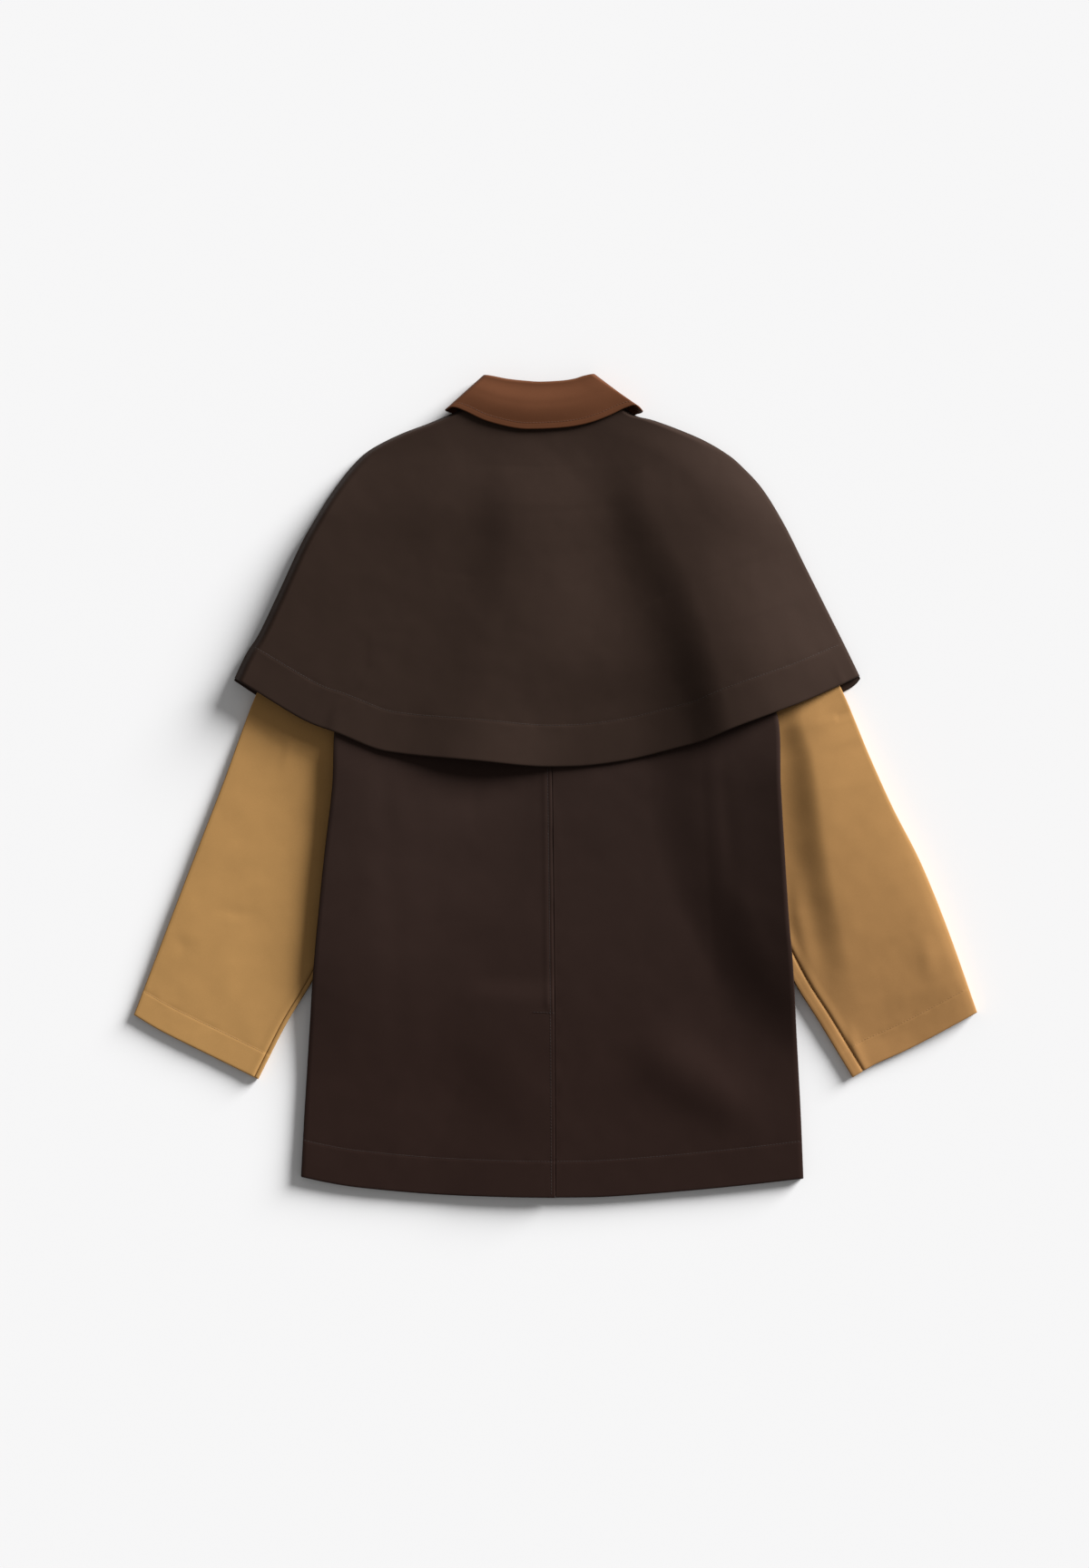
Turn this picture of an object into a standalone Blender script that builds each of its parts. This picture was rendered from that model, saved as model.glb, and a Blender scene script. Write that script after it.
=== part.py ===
"""A short caped coat, laid face down on a flat surface and seen from its back.

Plan sizes are in millimetres: x to the right, y towards the collar, z up from the surface.
Left and right are the wearer's. From the surface up, the layers are the collar's front leaves,
the cape fronts, the sleeves, the body fronts, the body backs, the cape back and the collar's fall.
"""

from math import cos, radians, sin

import bmesh
import bpy
import numpy as np

MM = 0.001

# Driving sizes.
WALL = 1.6  # one ply of coat cloth
COLLAR_WALL = 2.0  # two plies and their interlining
SEAM = 0.4  # gap between the pieces of one seam
NECK_SEAM = 2.0  # the same at the neck, whose curve the panels follow in short straight steps
REST = 1.4  # gap between a layer and the one that it lies on
BODY_THICK = 10.0  # body front and back together, where the body lies flat
SLEEVE_THICK = 7.5
CAPE_EDGE_THICK = 8.0  # cape front and back together, at the shoulder and side edge
CAPE_LOFT = 5.0  # height that the cape's own fullness adds over the body
ROLL_RADIUS = 2.5  # collar's roll, to the middle of its wall
COLLAR_FOLD = 8.0  # how far in from its end the collar's round fold reaches
LAP = 30.0  # each front past the centre front
UNDERLAP = 25.0  # vent extension under the left back
VENT_TOP = -249.0
DRAPE = 30.0  # width over which a layer comes down from an edge that it lies over
CLEAR = 10.0  # how far past that edge it stays up
SLEEVE_DRAPE, SLEEVE_CLEAR = 20.0, 8.0  # the same where the body lies over a sleeve
CAPE_CLEAR = 12.0  # and past the body's side under the cape
BRIDGE = 110.0  # width over which a top layer bridges a small step beneath
LEFT_BRIDGE, RIGHT_BRIDGE = 170.0, 80.0  # the same beside the sleeves under the body
LEFT_LIFT, RIGHT_LIFT = 5.0, 16.0  # how much further the back's bunched sides stand up
# Width of the cape's slope down to its edge: on the left, at the right shoulder and at the right side.
RIM, SHOULDER_RIM, RIGHT_RIM = 16.0, 60.0, 110.0
EDGE_ROUND = 3.0  # how far in from a folded edge its rounding reaches
FOLD_SEAM = 0.5  # half the gap between two pieces that meet at the middle of a folded edge

# Heights that one layer adds to those above it.
OVER_CAPE_FRONT = WALL + REST
OVER_COLLAR = COLLAR_WALL + REST
OVER_SLEEVE = SLEEVE_THICK + REST
OVER_FRONT = WALL + REST
NECK_HOLLOW = 2.0  # how far the backs sag where no fronts lie under them

# Outlines in plan, (x, y).
SHOULDER_LEFT, SHOULDER_RIGHT = (-208, 330), (194, 330)
NECK_LEFT, NECK_RIGHT = (-90, 413), (56, 413)
UNDERARM_Y, PITCH_Y = 84, 130  # body's underarm, and where a sleeve's inner edge leaves the armhole
ARMHOLE_LEFT = (SHOULDER_LEFT, (-201, 262), (-198, 190), (-199, 130))
ARMHOLE_RIGHT = ((184, 130), (184, 190), (187, 262), SHOULDER_RIGHT)
SIDE_LEFT = (
    (-216, 98), (-240, 80), (-245, 0), (-253, -69), (-259, -127), (-266, -204), (-275, -339), (-280, -430),
)
SIDE_RIGHT = ((206, 98), (242, 82), (247, 0), (251, -69), (256, -146), (261, -204), (269, -339), (273, -432))
CENTRE_BACK = ((-12, 408), (-8, 200), (-4, 20), (-1, -250), (0, -453))
HEM_LEFT = ((-280, -430), (-253, -436), (-215, -442), (-137, -449), (-60, -452), (0, -453))
HEM_RIGHT = ((0, -453), (56, -452), (133, -446.5), (211, -439), (273, -432))
BACK_NECK = ((-88, 420.5), (-60, 412.5), (-17, 408.5), (24, 412.5), (54, 420.5))
FRONT_NECK_LEFT = ((-88, 420.5), (-74, 386), (-42, 358), (-19, 352))
FRONT_NECK_RIGHT = ((-15, 352), (8, 358), (40, 386), (54, 420.5))

SLEEVE_OUTER_LEFT = ((-224, 310), (-275, 212), (-329, 101), (-367, 0), (-405, -98), (-464, -252))
SLEEVE_INNER_LEFT = (
    (-199, 130), (-201, 80), (-204, 20), (-207, -40), (-216, -100), (-239, -160), (-268, -216), (-296, -262),
    (-327, -323),
)
CUFF_LEFT = ((-464, -252), (-434, -270), (-386, -294), (-327, -323))
SLEEVE_OUTER_RIGHT = (
    (210, 310), (262, 212), (314, 108), (345, 34), (371, -24), (402, -85), (432, -159), (464, -249),
)
SLEEVE_INNER_RIGHT = (
    (184, 130), (185, 80), (187, 20), (192, -40), (207, -100), (234, -160), (263, -217), (290, -260),
    (327, -321),
)
CUFF_RIGHT = ((327, -321), (351, -307), (384, -292), (415, -276), (464, -249))
SEAM_WRAP_LEFT, SEAM_WRAP_RIGHT = 5.0, 14.0  # under sleeve round its inner edge, up to the seam on top

CAPE_LEFT = (
    (-101, 419), (-109, 412), (-118, 407.8), (-139, 399), (-172, 386.5), (-204, 370), (-223, 353),
    (-242, 329), (-262, 298), (-281, 264), (-305, 212), (-326, 168), (-340, 146), (-353, 119),
)
CAPE_RIGHT = (
    (76, 418), (82, 411), (92, 405.8), (108, 402), (136, 392), (164, 380), (188, 366), (204, 353), (228, 327),
    (252, 288), (276, 240), (300, 192), (319, 154), (335, 121),
)
CAPE_NECK = ((-101, 419), (-88, 417), (-60, 410), (-17, 406), (24, 410), (54, 417), (76, 418))
CAPE_HEM = (
    (-353, 119), (-329, 104), (-276, 72), (-240, 58), (-199, 41), (-172, 35.5), (-137, 31.6), (-84, 27),
    (-36, 22), (-5, 20.6), (36, 22), (84, 29), (132, 41), (161, 49), (194, 63), (242, 81), (276, 94),
    (314, 111), (335, 121),
)
CAPE_FRONT_HEM_LEFT = ((-354, 116), (-330, 100), (-276, 66), (-199, 36), (-137, 27), (-70, 20), (-8, 16))
CAPE_FRONT_HEM_RIGHT = (
    (-2, 16), (66, 22), (133, 36), (195, 55), (270, 84), (316, 103), (330, 111), (336, 118),
)

COLLAR_ROLL = (
    (-78, 451.5), (-68, 450), (-52, 447), (-33, 445), (-17, 444), (6, 445), (20, 447), (30, 450), (42, 452.6),
)
COLLAR_EDGE = (
    (-121, 412.5), (-112, 415), (-100, 411), (-76, 400), (-44, 392), (-20, 391), (12, 393), (36, 397.5),
    (57, 405),
    (76, 414), (88, 417), (96, 411),
)
ROLL_FRONT_LEFT = ((-22, 404), (-45, 425), (-78, 451.5))
ROLL_FRONT_RIGHT = ((42, 452.6), (11, 425), (-12, 404))
EDGE_FRONT_LEFT = ((-88, 330), (-104, 390), (-111, 408), (-121, 412.5))
EDGE_FRONT_RIGHT = ((96, 411), (86, 407), (74, 390), (56, 330))
COLLAR_REACH = ((-121, 412), (-92, 330), (60, 330), (96, 411), (42, 452), (-78, 451))

# Folds in a layer's surface, from the top down. Each point of a fold's line has x, y, the half widths on its
# left and its right, and the height (below 0, a trough).
BODY_FOLDS = {
    "left crease": (
        (-195, 60, 7, 7, 0), (-195, 10, 7, 7, -1.0), (-192, -60, 8, 8, -0.8), (-180, -130, 9, 9, -1.0),
        (-175, -240, 12, 12, -0.8), (-172, -300, 12, 12, 0),
    ),
    "right crease": (
        (152, 50, 8, 10, -0.6), (158, 0, 8, 10, -1.0), (168, -60, 8, 10, -1.0), (172, -120, 8, 10, -0.8),
        (176, -190, 8, 12, 0),
    ),
    "right hem ridge": (
        (92, -262, 30, 30, 0), (122, -300, 34, 32, 5), (180, -342, 30, 30, 4.5), (240, -382, 26, 24, 0),
    ),
    "left hem hollow": (
        (-170, -330, 40, 50, 0), (-112, -350, 44, 44, -2), (-60, -380, 40, 36, -1.5), (-10, -420, 30, 30, 0),
    ),
}
CAPE_FOLDS = {
    "centre ridge": (
        (-45, 350, 34, 50, 1), (-46, 310, 34, 60, 4), (-47, 270, 34, 66, 5), (-52, 220, 42, 70, 5.5),
        (-64, 170, 50, 80, 5.5), (-72, 120, 54, 80, 5.5), (-80, 70, 58, 76, 9), (-84, 20, 60, 62, 13),
    ),
    "centre trough": (
        (50, 350, 60, 28, -2), (54, 305, 70, 32, -5), (60, 262, 70, 36, -5), (66, 215, 60, 38, -3),
        (72, 170, 50, 40, -1), (76, 125, 44, 40, 0),
    ),
    "right ridge": (
        (90, 345, 36, 60, 0), (122, 275, 38, 110, 5.5), (150, 220, 42, 120, 11), (168, 170, 44, 130, 15.5),
        (182, 120, 46, 130, 18.5), (191, 80, 48, 110, 21), (197, 35, 50, 80, 22),
    ),
}
SLEEVE_FOLDS = {
    "left slope": (
        (-330, 60, 40, 46, 0), (-385, -60, 36, 50, 1.5), (-420, -160, 34, 50, 1.5), (-440, -240, 30, 50, 0),
    ),
    "right ridge": (
        (282, 104, 20, 44, 0), (286, 66, 22, 50, 5), (296, 36, 26, 80, 9), (301, -4, 30, 100, 11),
        (308, -60, 30, 110, 11), (318, -120, 32, 110, 10), (328, -180, 34, 100, 8), (340, -240, 36, 90, 4),
        (348, -280, 38, 60, 0),
    ),
    "right inner fold": (
        (264, -90, 8, 12, 0), (268, -140, 8, 12, 2), (278, -190, 8, 12, 1.5), (292, -236, 8, 12, 0),
    ),
}

# Cells of each piece's grid: across, then down its upper and its lower half.
CELLS = {
    "back": (4, 13, 10), "front": (4, 13, 10), "sleeve_back": (7, 9, 8), "sleeve_front": (5, 9, 8),
    "cape_back": (34, 8, 8), "cape_front": (7, 8, 8), "vent_underlap": (2, 4, 4),
}
SIDE_COLUMNS = (12, 24, 36, 48, 60, 74)  # extra columns by the body's side, where it climbs over a sleeve
# The same by the centre: the steps of the neck's curve, and where the left front climbs over the right.
CENTRE_COLUMNS = {"back": (13, 27, 42), "front": (31, 62, 80, 98)}
OPEN_COLUMN = 0.4  # step between an edge's first columns where it isn't folded
COLLAR_CELLS = (3, 14, 3)  # along the left front, the back and the right front

NECK_SHARES = (0.14, 0.26, 0.38, 0.54, 0.66, 0.78, 0.88)  # points of the backs' neck line to each shoulder

# Colours from the photo, linear, with each cloth's roughness.
CLOTHS = {
    "dark_cloth": ((0.028, 0.018, 0.014), 0.85),
    "tan_cloth": ((0.39, 0.22, 0.085), 0.85),
    "rust_cloth": ((0.135, 0.052, 0.024), 0.85),
}


def smooth(share):
    """0 below 0, 1 above 1, and a soft S between."""
    t = np.clip(share, 0, 1)
    return t * t * (3 - 2 * t)


def bell(distance, width):
    return np.exp(-((distance / width) ** 2))


def soft_max(a, b, blend):
    """The greater of two heights, rounded where they cross."""
    h = np.clip(0.5 + (a - b) / (2 * blend), 0, 1)
    return b + (a - b) * h + blend * h * (1 - h)


class Line:
    """A smooth line through points of the plan, read by its share of length."""

    STEPS = 8

    def __init__(self, *points):
        knots = np.array(points, float)
        ends = np.vstack([2 * knots[0] - knots[1], knots, 2 * knots[-1] - knots[-2]])
        t = np.linspace(0, 1, self.STEPS, endpoint=False)[:, None]
        spans = [self.span(*ends[i : i + 4], t) for i in range(len(knots) - 1)]
        self.points = np.vstack([*spans, knots[-1:]])
        lengths = np.hypot(*np.diff(self.points, axis=0).T)
        self.length = lengths.sum()
        self.shares = np.concatenate([[0], np.cumsum(lengths)]) / self.length

    @staticmethod
    def span(before, start, end, after, t):
        """Catmull-Rom from start to end."""
        return start + 0.5 * t * (
            end - before + t * (2 * before - 5 * start + 4 * end - after
                                + t * (3 * (start - end) + after - before))
        )

    def at(self, share):
        return np.stack([np.interp(share, self.shares, axis) for axis in self.points.T], axis=-1)

    def x_at(self, y):
        order = np.argsort(self.points[:, 1])
        return np.interp(y, self.points[order, 1], self.points[order, 0])

    def y_at(self, x):
        order = np.argsort(self.points[:, 0])
        return np.interp(x, self.points[order, 0], self.points[order, 1])


def moved(points, dx=0.0, dy=0.0):
    return tuple((x + dx, y + dy) for x, y in points)


def nearest(points, x, y):
    """Distance to a polyline, its side from -1 (left, as it comes down) to 1, and what its points carry."""
    best, side, carried = np.full(np.shape(x), np.inf), None, None
    for a, b in zip(points[:-1], points[1:]):
        a, b = np.array(a, float), np.array(b, float)
        step = b[:2] - a[:2]
        t = np.clip(((x - a[0]) * step[0] + (y - a[1]) * step[1]) / (step @ step), 0, 1)
        off_x, off_y = x - a[0] - t * step[0], y - a[1] - t * step[1]
        away = np.hypot(off_x, off_y)
        turn = (step[0] * off_y - step[1] * off_x) / (np.hypot(*step) * np.maximum(away, 1e-6))
        lean = np.clip(1.5 * turn, -1, 1)
        here = a[2:] + t[..., None] * (b[2:] - a[2:])
        side = lean if side is None else np.where(away < best, lean, side)
        carried = here if carried is None else np.where((away < best)[..., None], here, carried)
        best = np.minimum(best, away)
    return best, side, carried


def fold_height(folds, x, y):
    total = np.zeros(np.shape(x))
    for line in folds.values():
        away, side, shape = nearest(line, x, y)
        left, right, height = np.moveaxis(shape, -1, 0)
        total += height * bell(away, (left * (1 - side) + right * (1 + side)) / 2)
    return total


def outside(polygon, x, y):
    """Distance outside a convex polygon, and 0 inside it."""
    corners = np.array(polygon + polygon[:1], float)
    turn = np.cross(corners[1] - corners[0], corners[2] - corners[1])
    within = np.full(np.shape(x), True)
    for a, b in zip(corners[:-1], corners[1:]):
        within &= turn * ((b[0] - a[0]) * (y - a[1]) - (b[1] - a[1]) * (x - a[0])) >= 0
    return np.where(within, 0, nearest([tuple(c) for c in corners], x, y)[0])


# How far each lower layer lifts what lies on it, from 0 to 1.
CAPE_FRONT_HEM = Line(*CAPE_FRONT_HEM_LEFT, *CAPE_FRONT_HEM_RIGHT)
INNER_LEFT, INNER_RIGHT = Line(*SLEEVE_INNER_LEFT), Line(*SLEEVE_INNER_RIGHT)
OUTER_RIGHT = Line(*SLEEVE_OUTER_RIGHT)
BODY_LEFT, BODY_RIGHT = Line(*ARMHOLE_LEFT[3:], *SIDE_LEFT), Line(*ARMHOLE_RIGHT[:1], *SIDE_RIGHT)
LEFT_EDGE = Line((12, 347), (20, 100), (LAP, -451))
RIGHT_EDGE = Line((-46, 347), (-38, 100), (-LAP, -451))


def on_cape_front(x, y, drape=DRAPE):
    return smooth(1 - (CAPE_FRONT_HEM.y_at(x) - CLEAR - y) / drape)


def on_collar(x, y, drape=DRAPE):
    return smooth(1 - (outside(COLLAR_REACH, x, y) - CLEAR) / drape)


def on_sleeves(x, y, clear=SLEEVE_CLEAR, drape=SLEEVE_DRAPE):
    """1 where the body lies on a sleeve: the sleeves pass under its sides below the armholes."""
    left = smooth((INNER_LEFT.x_at(y) + clear + drape - x) / drape)
    right = smooth((x - INNER_RIGHT.x_at(y) + clear + drape) / drape)
    return np.maximum(left, right) * smooth((PITCH_Y + 75 - y) / 50)


def cape_front_under(x, y):
    return OVER_COLLAR * on_collar(x, y)


def sleeve_under(x, y):
    return OVER_CAPE_FRONT * on_cape_front(x, y)


def sleeve_over(x, y):
    return sleeve_under(x, y) + SLEEVE_THICK + fold_height(SLEEVE_FOLDS, x, y)


def front_under(x, y):
    lifted = OVER_SLEEVE * on_sleeves(x, y)
    return OVER_CAPE_FRONT * on_cape_front(x, y) + OVER_COLLAR * on_collar(x, y) + lifted


def lapped_front_under(x, y):
    """The left front, which lies on the right front past the centre."""
    lapped = x - RIGHT_EDGE.x_at(y) + CLEAR + DRAPE
    return front_under(x, y) + OVER_FRONT * smooth(lapped / DRAPE)


def side_rise(x, y):
    """How high the back's sides stand over its middle: they lie on the sleeves, and are bunched there."""
    left = smooth((INNER_LEFT.x_at(y) + SLEEVE_CLEAR + LEFT_BRIDGE - x) / LEFT_BRIDGE)
    right = smooth((x - INNER_RIGHT.x_at(y) + SLEEVE_CLEAR + RIGHT_BRIDGE) / RIGHT_BRIDGE)
    on_sleeve = np.maximum(left, right) * smooth((PITCH_Y + 75 - y) / 50) * smooth((y + 300) / 90)
    inwards = np.clip((x - BODY_RIGHT.x_at(y)) / 100 + 1, 0, 1)
    bunched = RIGHT_LIFT * (inwards + inwards**2) / 2 + LEFT_LIFT * smooth((-120 - x) / 120)
    return OVER_SLEEVE * on_sleeve + bunched * smooth((y + 400) / 150) * smooth((120 - y) / 120)


def back_over(x, y):
    """The backs' top. It bridges the small steps of the layers beneath."""
    neck = NECK_HOLLOW * smooth(1 - np.hypot((x + 17) / 80, (y - 400) / 60))
    lifted = OVER_CAPE_FRONT * on_cape_front(x, y, BRIDGE) + OVER_COLLAR * on_collar(x, y, BRIDGE)
    return lifted + side_rise(x, y) + BODY_THICK - neck + fold_height(BODY_FOLDS, x, y)


def lapped_back_over(x, y):
    """The left back, which lies on the vent's underlap."""
    lap = smooth((x + UNDERLAP + CLEAR + BRIDGE) / BRIDGE) * smooth((VENT_TOP + CLEAR + DRAPE - y) / DRAPE)
    return back_over(x, y) + OVER_FRONT * lap


def cape_support(x, y):
    """Top of the body, which the cape lies on, and a little beyond its sides."""
    beside = smooth((x - BODY_LEFT.x_at(y)) / 30 + 1) * smooth((BODY_RIGHT.x_at(y) - x) / 30 + 1)
    lifted = np.maximum(side_rise(x - CAPE_CLEAR, y), side_rise(x + CAPE_CLEAR, y)) * beside
    return BODY_THICK + OVER_CAPE_FRONT + OVER_COLLAR * on_collar(x, y, BRIDGE) + lifted


def over_right_sleeve(x, y):
    """The least height of the cape over the right sleeve's outer edge."""
    beside = smooth((OUTER_RIGHT.x_at(y) + 18 - x) / 14) * smooth((305 - y) / 30)
    return (sleeve_over(x, y) + REST + WALL) * beside


def cape_rise(x, y, edge):
    """Share of its full height that the cape has at a distance from its edge. Its right slopes slowly."""
    slow = smooth((x - 20) / 100) * smooth((420 - y) / 60)
    width = SHOULDER_RIM + (RIGHT_RIM - SHOULDER_RIM) * smooth((330 - y) / 90)
    return (1 - slow) * smooth(edge / RIM) + slow * (1 - (1 - np.clip(edge / width, 0, 1)) ** 2)


def cape_over(x, y, edge):
    """The cape's top, from the distance to its shoulder and side edge."""
    low = OVER_COLLAR * on_collar(x, y, BRIDGE)
    bridged = 30 + 100 * smooth((y - 60) / 80)
    left = (OVER_SLEEVE + 1) * smooth((bridged - x) / (bridged + 160)) * smooth((400 - y) / 110)
    loft = CAPE_LOFT * smooth((x + 100) / 120) * smooth((y - 50) / 110) * smooth((400 - y) / 110)
    dome = low + BODY_THICK + OVER_CAPE_FRONT + REST + left + loft + fold_height(CAPE_FOLDS, x, y)
    height = soft_max(dome, cape_support(x, y) + REST, 3.0) + WALL
    sloped = low + CAPE_EDGE_THICK + (height - low - CAPE_EDGE_THICK) * cape_rise(x, y, edge)
    return soft_max(sloped, over_right_sleeve(x, y), 2.0)


def coons(top, bottom, left, right):
    """A patch between four lines. Top and bottom run left to right, left and right top to bottom."""
    corners = top.at(0), top.at(1), bottom.at(0), bottom.at(1)

    def at(u, v):
        across, down = u[..., None], v[..., None]
        rails = (1 - down) * top.at(u) + down * bottom.at(u)
        rails = rails + (1 - across) * left.at(v) + across * right.at(v)
        upper = (1 - across) * corners[0] + across * corners[1]
        lower = (1 - across) * corners[2] + across * corners[3]
        return rails - (1 - down) * upper - down * lower

    return at


def round_edge(radius, sign):
    """Columns round a folded edge: how far in from it, and the level, 0 at mid height and 1 or -1 flat."""
    return [(radius * (1 - cos(radians(a))), sign * sin(radians(a))) for a in (0, 20, 55, 90)]


def plain_edge(inset, sign, *more):
    return [(inset, sign)] + [(further, sign) for further in more]


def wrapped_edge(radius, width):
    """The under sleeve's columns from the seam on top, round the fold, to the underside."""
    over = [(width, 1.0)] + ([(2 * radius, 1.0)] if width > 3 * radius else [])
    return over + round_edge(radius, 1)[:0:-1] + round_edge(radius, -1)


def place_grid(name, cells, at, left, right, height, folded=None, opening=("left", "right")):
    """Lays a grid on the patch at(u, v), at the height from (x, y, distance to the edge, level).

    left and right hold the columns near each edge, from the edge inwards. folded(y) is 1 where an edge is
    folded and 0 where it lies open at the piece's own level, as at an armhole."""
    across, upper, lower = cells
    shares = np.concatenate([np.linspace(0, 0.5, upper + 1), np.linspace(0.5, 1, lower + 1)[1:]])
    segments, rows = len(left) + len(right) + across - 2, upper + lower
    mesh = bmesh.new()
    bmesh.ops.create_grid(mesh, x_segments=segments, y_segments=rows, size=0.5)
    points = list(mesh.verts)
    column = np.array([round((p.co.x + 0.5) * segments) for p in points])
    v = shares[[round((0.5 - p.co.y) * rows) for p in points]]
    flat = left[-1][1]

    ends = [at(np.full(v.shape, float(u)), v) for u in (0, 1)]
    width = np.hypot(*(ends[1] - ends[0]).T)
    first, last = left[-1][0] / width, 1 - right[-1][0] / width
    u = first + (last - first) * (column - len(left) + 1) / across
    level = np.full(v.shape, float(flat))
    for side, edge, end in (("left", left, ends[0]), ("right", right, ends[1])):
        fold = folded(end[:, 1]) if folded is not None and side in opening else np.ones(v.shape)
        for i, (inset, q) in enumerate(edge):
            here = column == (i if side == "left" else segments - i)
            spread = inset if abs(q) == 1 and i == len(edge) - 1 and i else i * OPEN_COLUMN
            open_inset = min(inset, spread) if q == flat else spread
            placed = fold * inset + (1 - fold) * open_inset
            share = (placed / width)[here]
            u[here] = share if side == "left" else 1 - share
            level[here] = (fold * q + (1 - fold) * flat)[here]
    plan = at(u, v)
    z = height(plan[:, 0], plan[:, 1], np.minimum(u, 1 - u) * width, level)
    for point, (x, y), up in zip(points, plan, z):
        point.co = (x * MM, y * MM, up * MM)
    return finish_piece(name, mesh)


def finish_piece(name, mesh):
    data = bpy.data.meshes.new(name)
    mesh.to_mesh(data)
    mesh.free()
    data.shade_smooth()
    piece = bpy.data.objects.new(name, data)
    COAT.objects.link(piece)
    return piece


def add_wall(piece, cloth, offset, thickness=WALL):
    """Gives the surface its wall: below it at offset -1, above it at 1, both sides at 0."""
    wall = piece.modifiers.new("wall", "SOLIDIFY")
    wall.thickness = thickness * MM
    wall.offset = offset
    piece.data.materials.append(cloth)


def top_height(under, over):
    """Height of a flattened tube's upper piece: mid height at level 0, the tube's top at 1."""

    def height(x, y, edge, level):
        low, high = under(x, y), over(x, y)
        middle = (low + high) / 2 + FOLD_SEAM
        return middle + level * (high - middle)

    return height


def under_height(under, over):
    """Height of a tube's lower piece: its underside at level -1, and its top where it wraps round to 1."""

    def height(x, y, edge, level):
        low, high = under(x, y), over(x, y)
        middle = (low + high) / 2 - FOLD_SEAM
        return middle + level * np.where(level > 0, high - middle, middle - low)

    return height


def body_piece(name, under, over, top, bottom, lateral, centre):
    """One body panel. lateral is its armhole and side, centre its other edge, both from top to bottom."""
    kind, side = name.split("_")
    sign = 1.0 if kind == "back" else -1.0
    folded = round_edge(EDGE_ROUND, sign) + plain_edge(SIDE_COLUMNS[0], sign, *SIDE_COLUMNS[1:])
    seam = plain_edge(SEAM / 2, sign, *CENTRE_COLUMNS[kind])
    if side == "left":
        at, left, right = coons(top, bottom, lateral, centre), folded, seam
    else:
        at, left, right = coons(top, bottom, centre, lateral), seam, folded
    shape = (top_height if kind == "back" else under_height)(under, over)

    def below_armhole(y):
        return 1 - smooth((y - UNDERARM_Y) / 20)

    piece = place_grid(name, CELLS[kind], at, left, right, shape, below_armhole, opening=(side,))
    add_wall(piece, DARK, -sign)


def build_body():
    lateral_left, lateral_right = Line(*ARMHOLE_LEFT, *SIDE_LEFT), Line(*ARMHOLE_RIGHT[::-1], *SIDE_RIGHT)
    centre = Line(*CENTRE_BACK)
    shoulder_left = (SHOULDER_LEFT, (-165, 362), (-120, 396), NECK_LEFT)
    shoulder_right = (NECK_RIGHT, (86, 396), (140, 364), SHOULDER_RIGHT)
    neck = moved(Line(*BACK_NECK).at(NECK_SHARES), dy=-NECK_SEAM)
    top_left, top_right = Line(*shoulder_left, *neck[:4]), Line(*neck[3:], *shoulder_right)
    body_piece("back_left", front_under, lapped_back_over, top_left, Line(*HEM_LEFT), lateral_left, centre)
    body_piece("back_right", front_under, back_over, top_right, Line(*HEM_RIGHT), lateral_right, centre)

    neck_left = moved(FRONT_NECK_LEFT[1:], dx=-NECK_SEAM, dy=-NECK_SEAM)
    neck_right = moved(FRONT_NECK_RIGHT[:-1], dx=NECK_SEAM, dy=-NECK_SEAM)
    top_left = Line(*shoulder_left, *neck_left, LEFT_EDGE.at(0))
    top_right = Line(RIGHT_EDGE.at(0), *neck_right, *shoulder_right)
    hem_left, hem_right = Line(*HEM_LEFT[:-1], LEFT_EDGE.at(1)), Line(RIGHT_EDGE.at(1), *HEM_RIGHT[1:])
    body_piece("front_left", lapped_front_under, back_over, top_left, hem_left, lateral_left, LEFT_EDGE)
    body_piece("front_right", front_under, back_over, top_right, hem_right, lateral_right, RIGHT_EDGE)


def build_vent_underlap():
    """The right back's extension under the left back, along the vent."""
    centre = Line((-1, VENT_TOP), (0, -452))
    lateral = Line((-1 - UNDERLAP, VENT_TOP), (-UNDERLAP, -451))
    top, bottom = Line(lateral.at(0), centre.at(0)), Line(lateral.at(1), centre.at(1))

    def height(x, y, edge, level):
        return back_over(x, y)

    at = coons(top, bottom, lateral, centre)
    edges = plain_edge(0.0, 1.0), plain_edge(SEAM, 1.0)
    add_wall(place_grid("vent_underlap", CELLS["vent_underlap"], at, *edges, height), DARK, -1)


def build_sleeve(side, armhole, outer, inner, cuff, wrap):
    """Upper and under sleeve. The under sleeve wraps round the inner edge, up to the seam on top."""
    radius = EDGE_ROUND
    joined = moved(armhole, dx=-SEAM if side == "left" else SEAM)
    cap_end = joined[0] if side == "left" else joined[-1]
    down = joined if side == "left" else joined[::-1]
    outer_line, inner_line = Line(*outer), Line(*down, *inner[1:])
    edges = {
        "back": [round_edge(radius, 1), plain_edge(wrap + SEAM, 1.0)],
        "front": [round_edge(radius, -1), wrapped_edge(radius, wrap)],
    }
    if side == "left":
        at = coons(Line(outer[0], cap_end), Line(*cuff), outer_line, inner_line)
    else:
        at = coons(Line(cap_end, outer[0]), Line(*cuff), inner_line, outer_line)

    def below_pitch(y):
        return 1 - smooth((y - PITCH_Y + 10) / 30)

    for half, sign in (("back", 1), ("front", -1)):
        shape = (top_height if sign > 0 else under_height)(sleeve_under, sleeve_over)
        left, right = edges[half] if side == "left" else edges[half][::-1]
        inner_side = "right" if side == "left" else "left"
        name, cells = f"sleeve_{side}_{half}", CELLS["sleeve_" + half]
        add_wall(place_grid(name, cells, at, left, right, shape, below_pitch, (inner_side,)), TAN, -sign)


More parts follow.
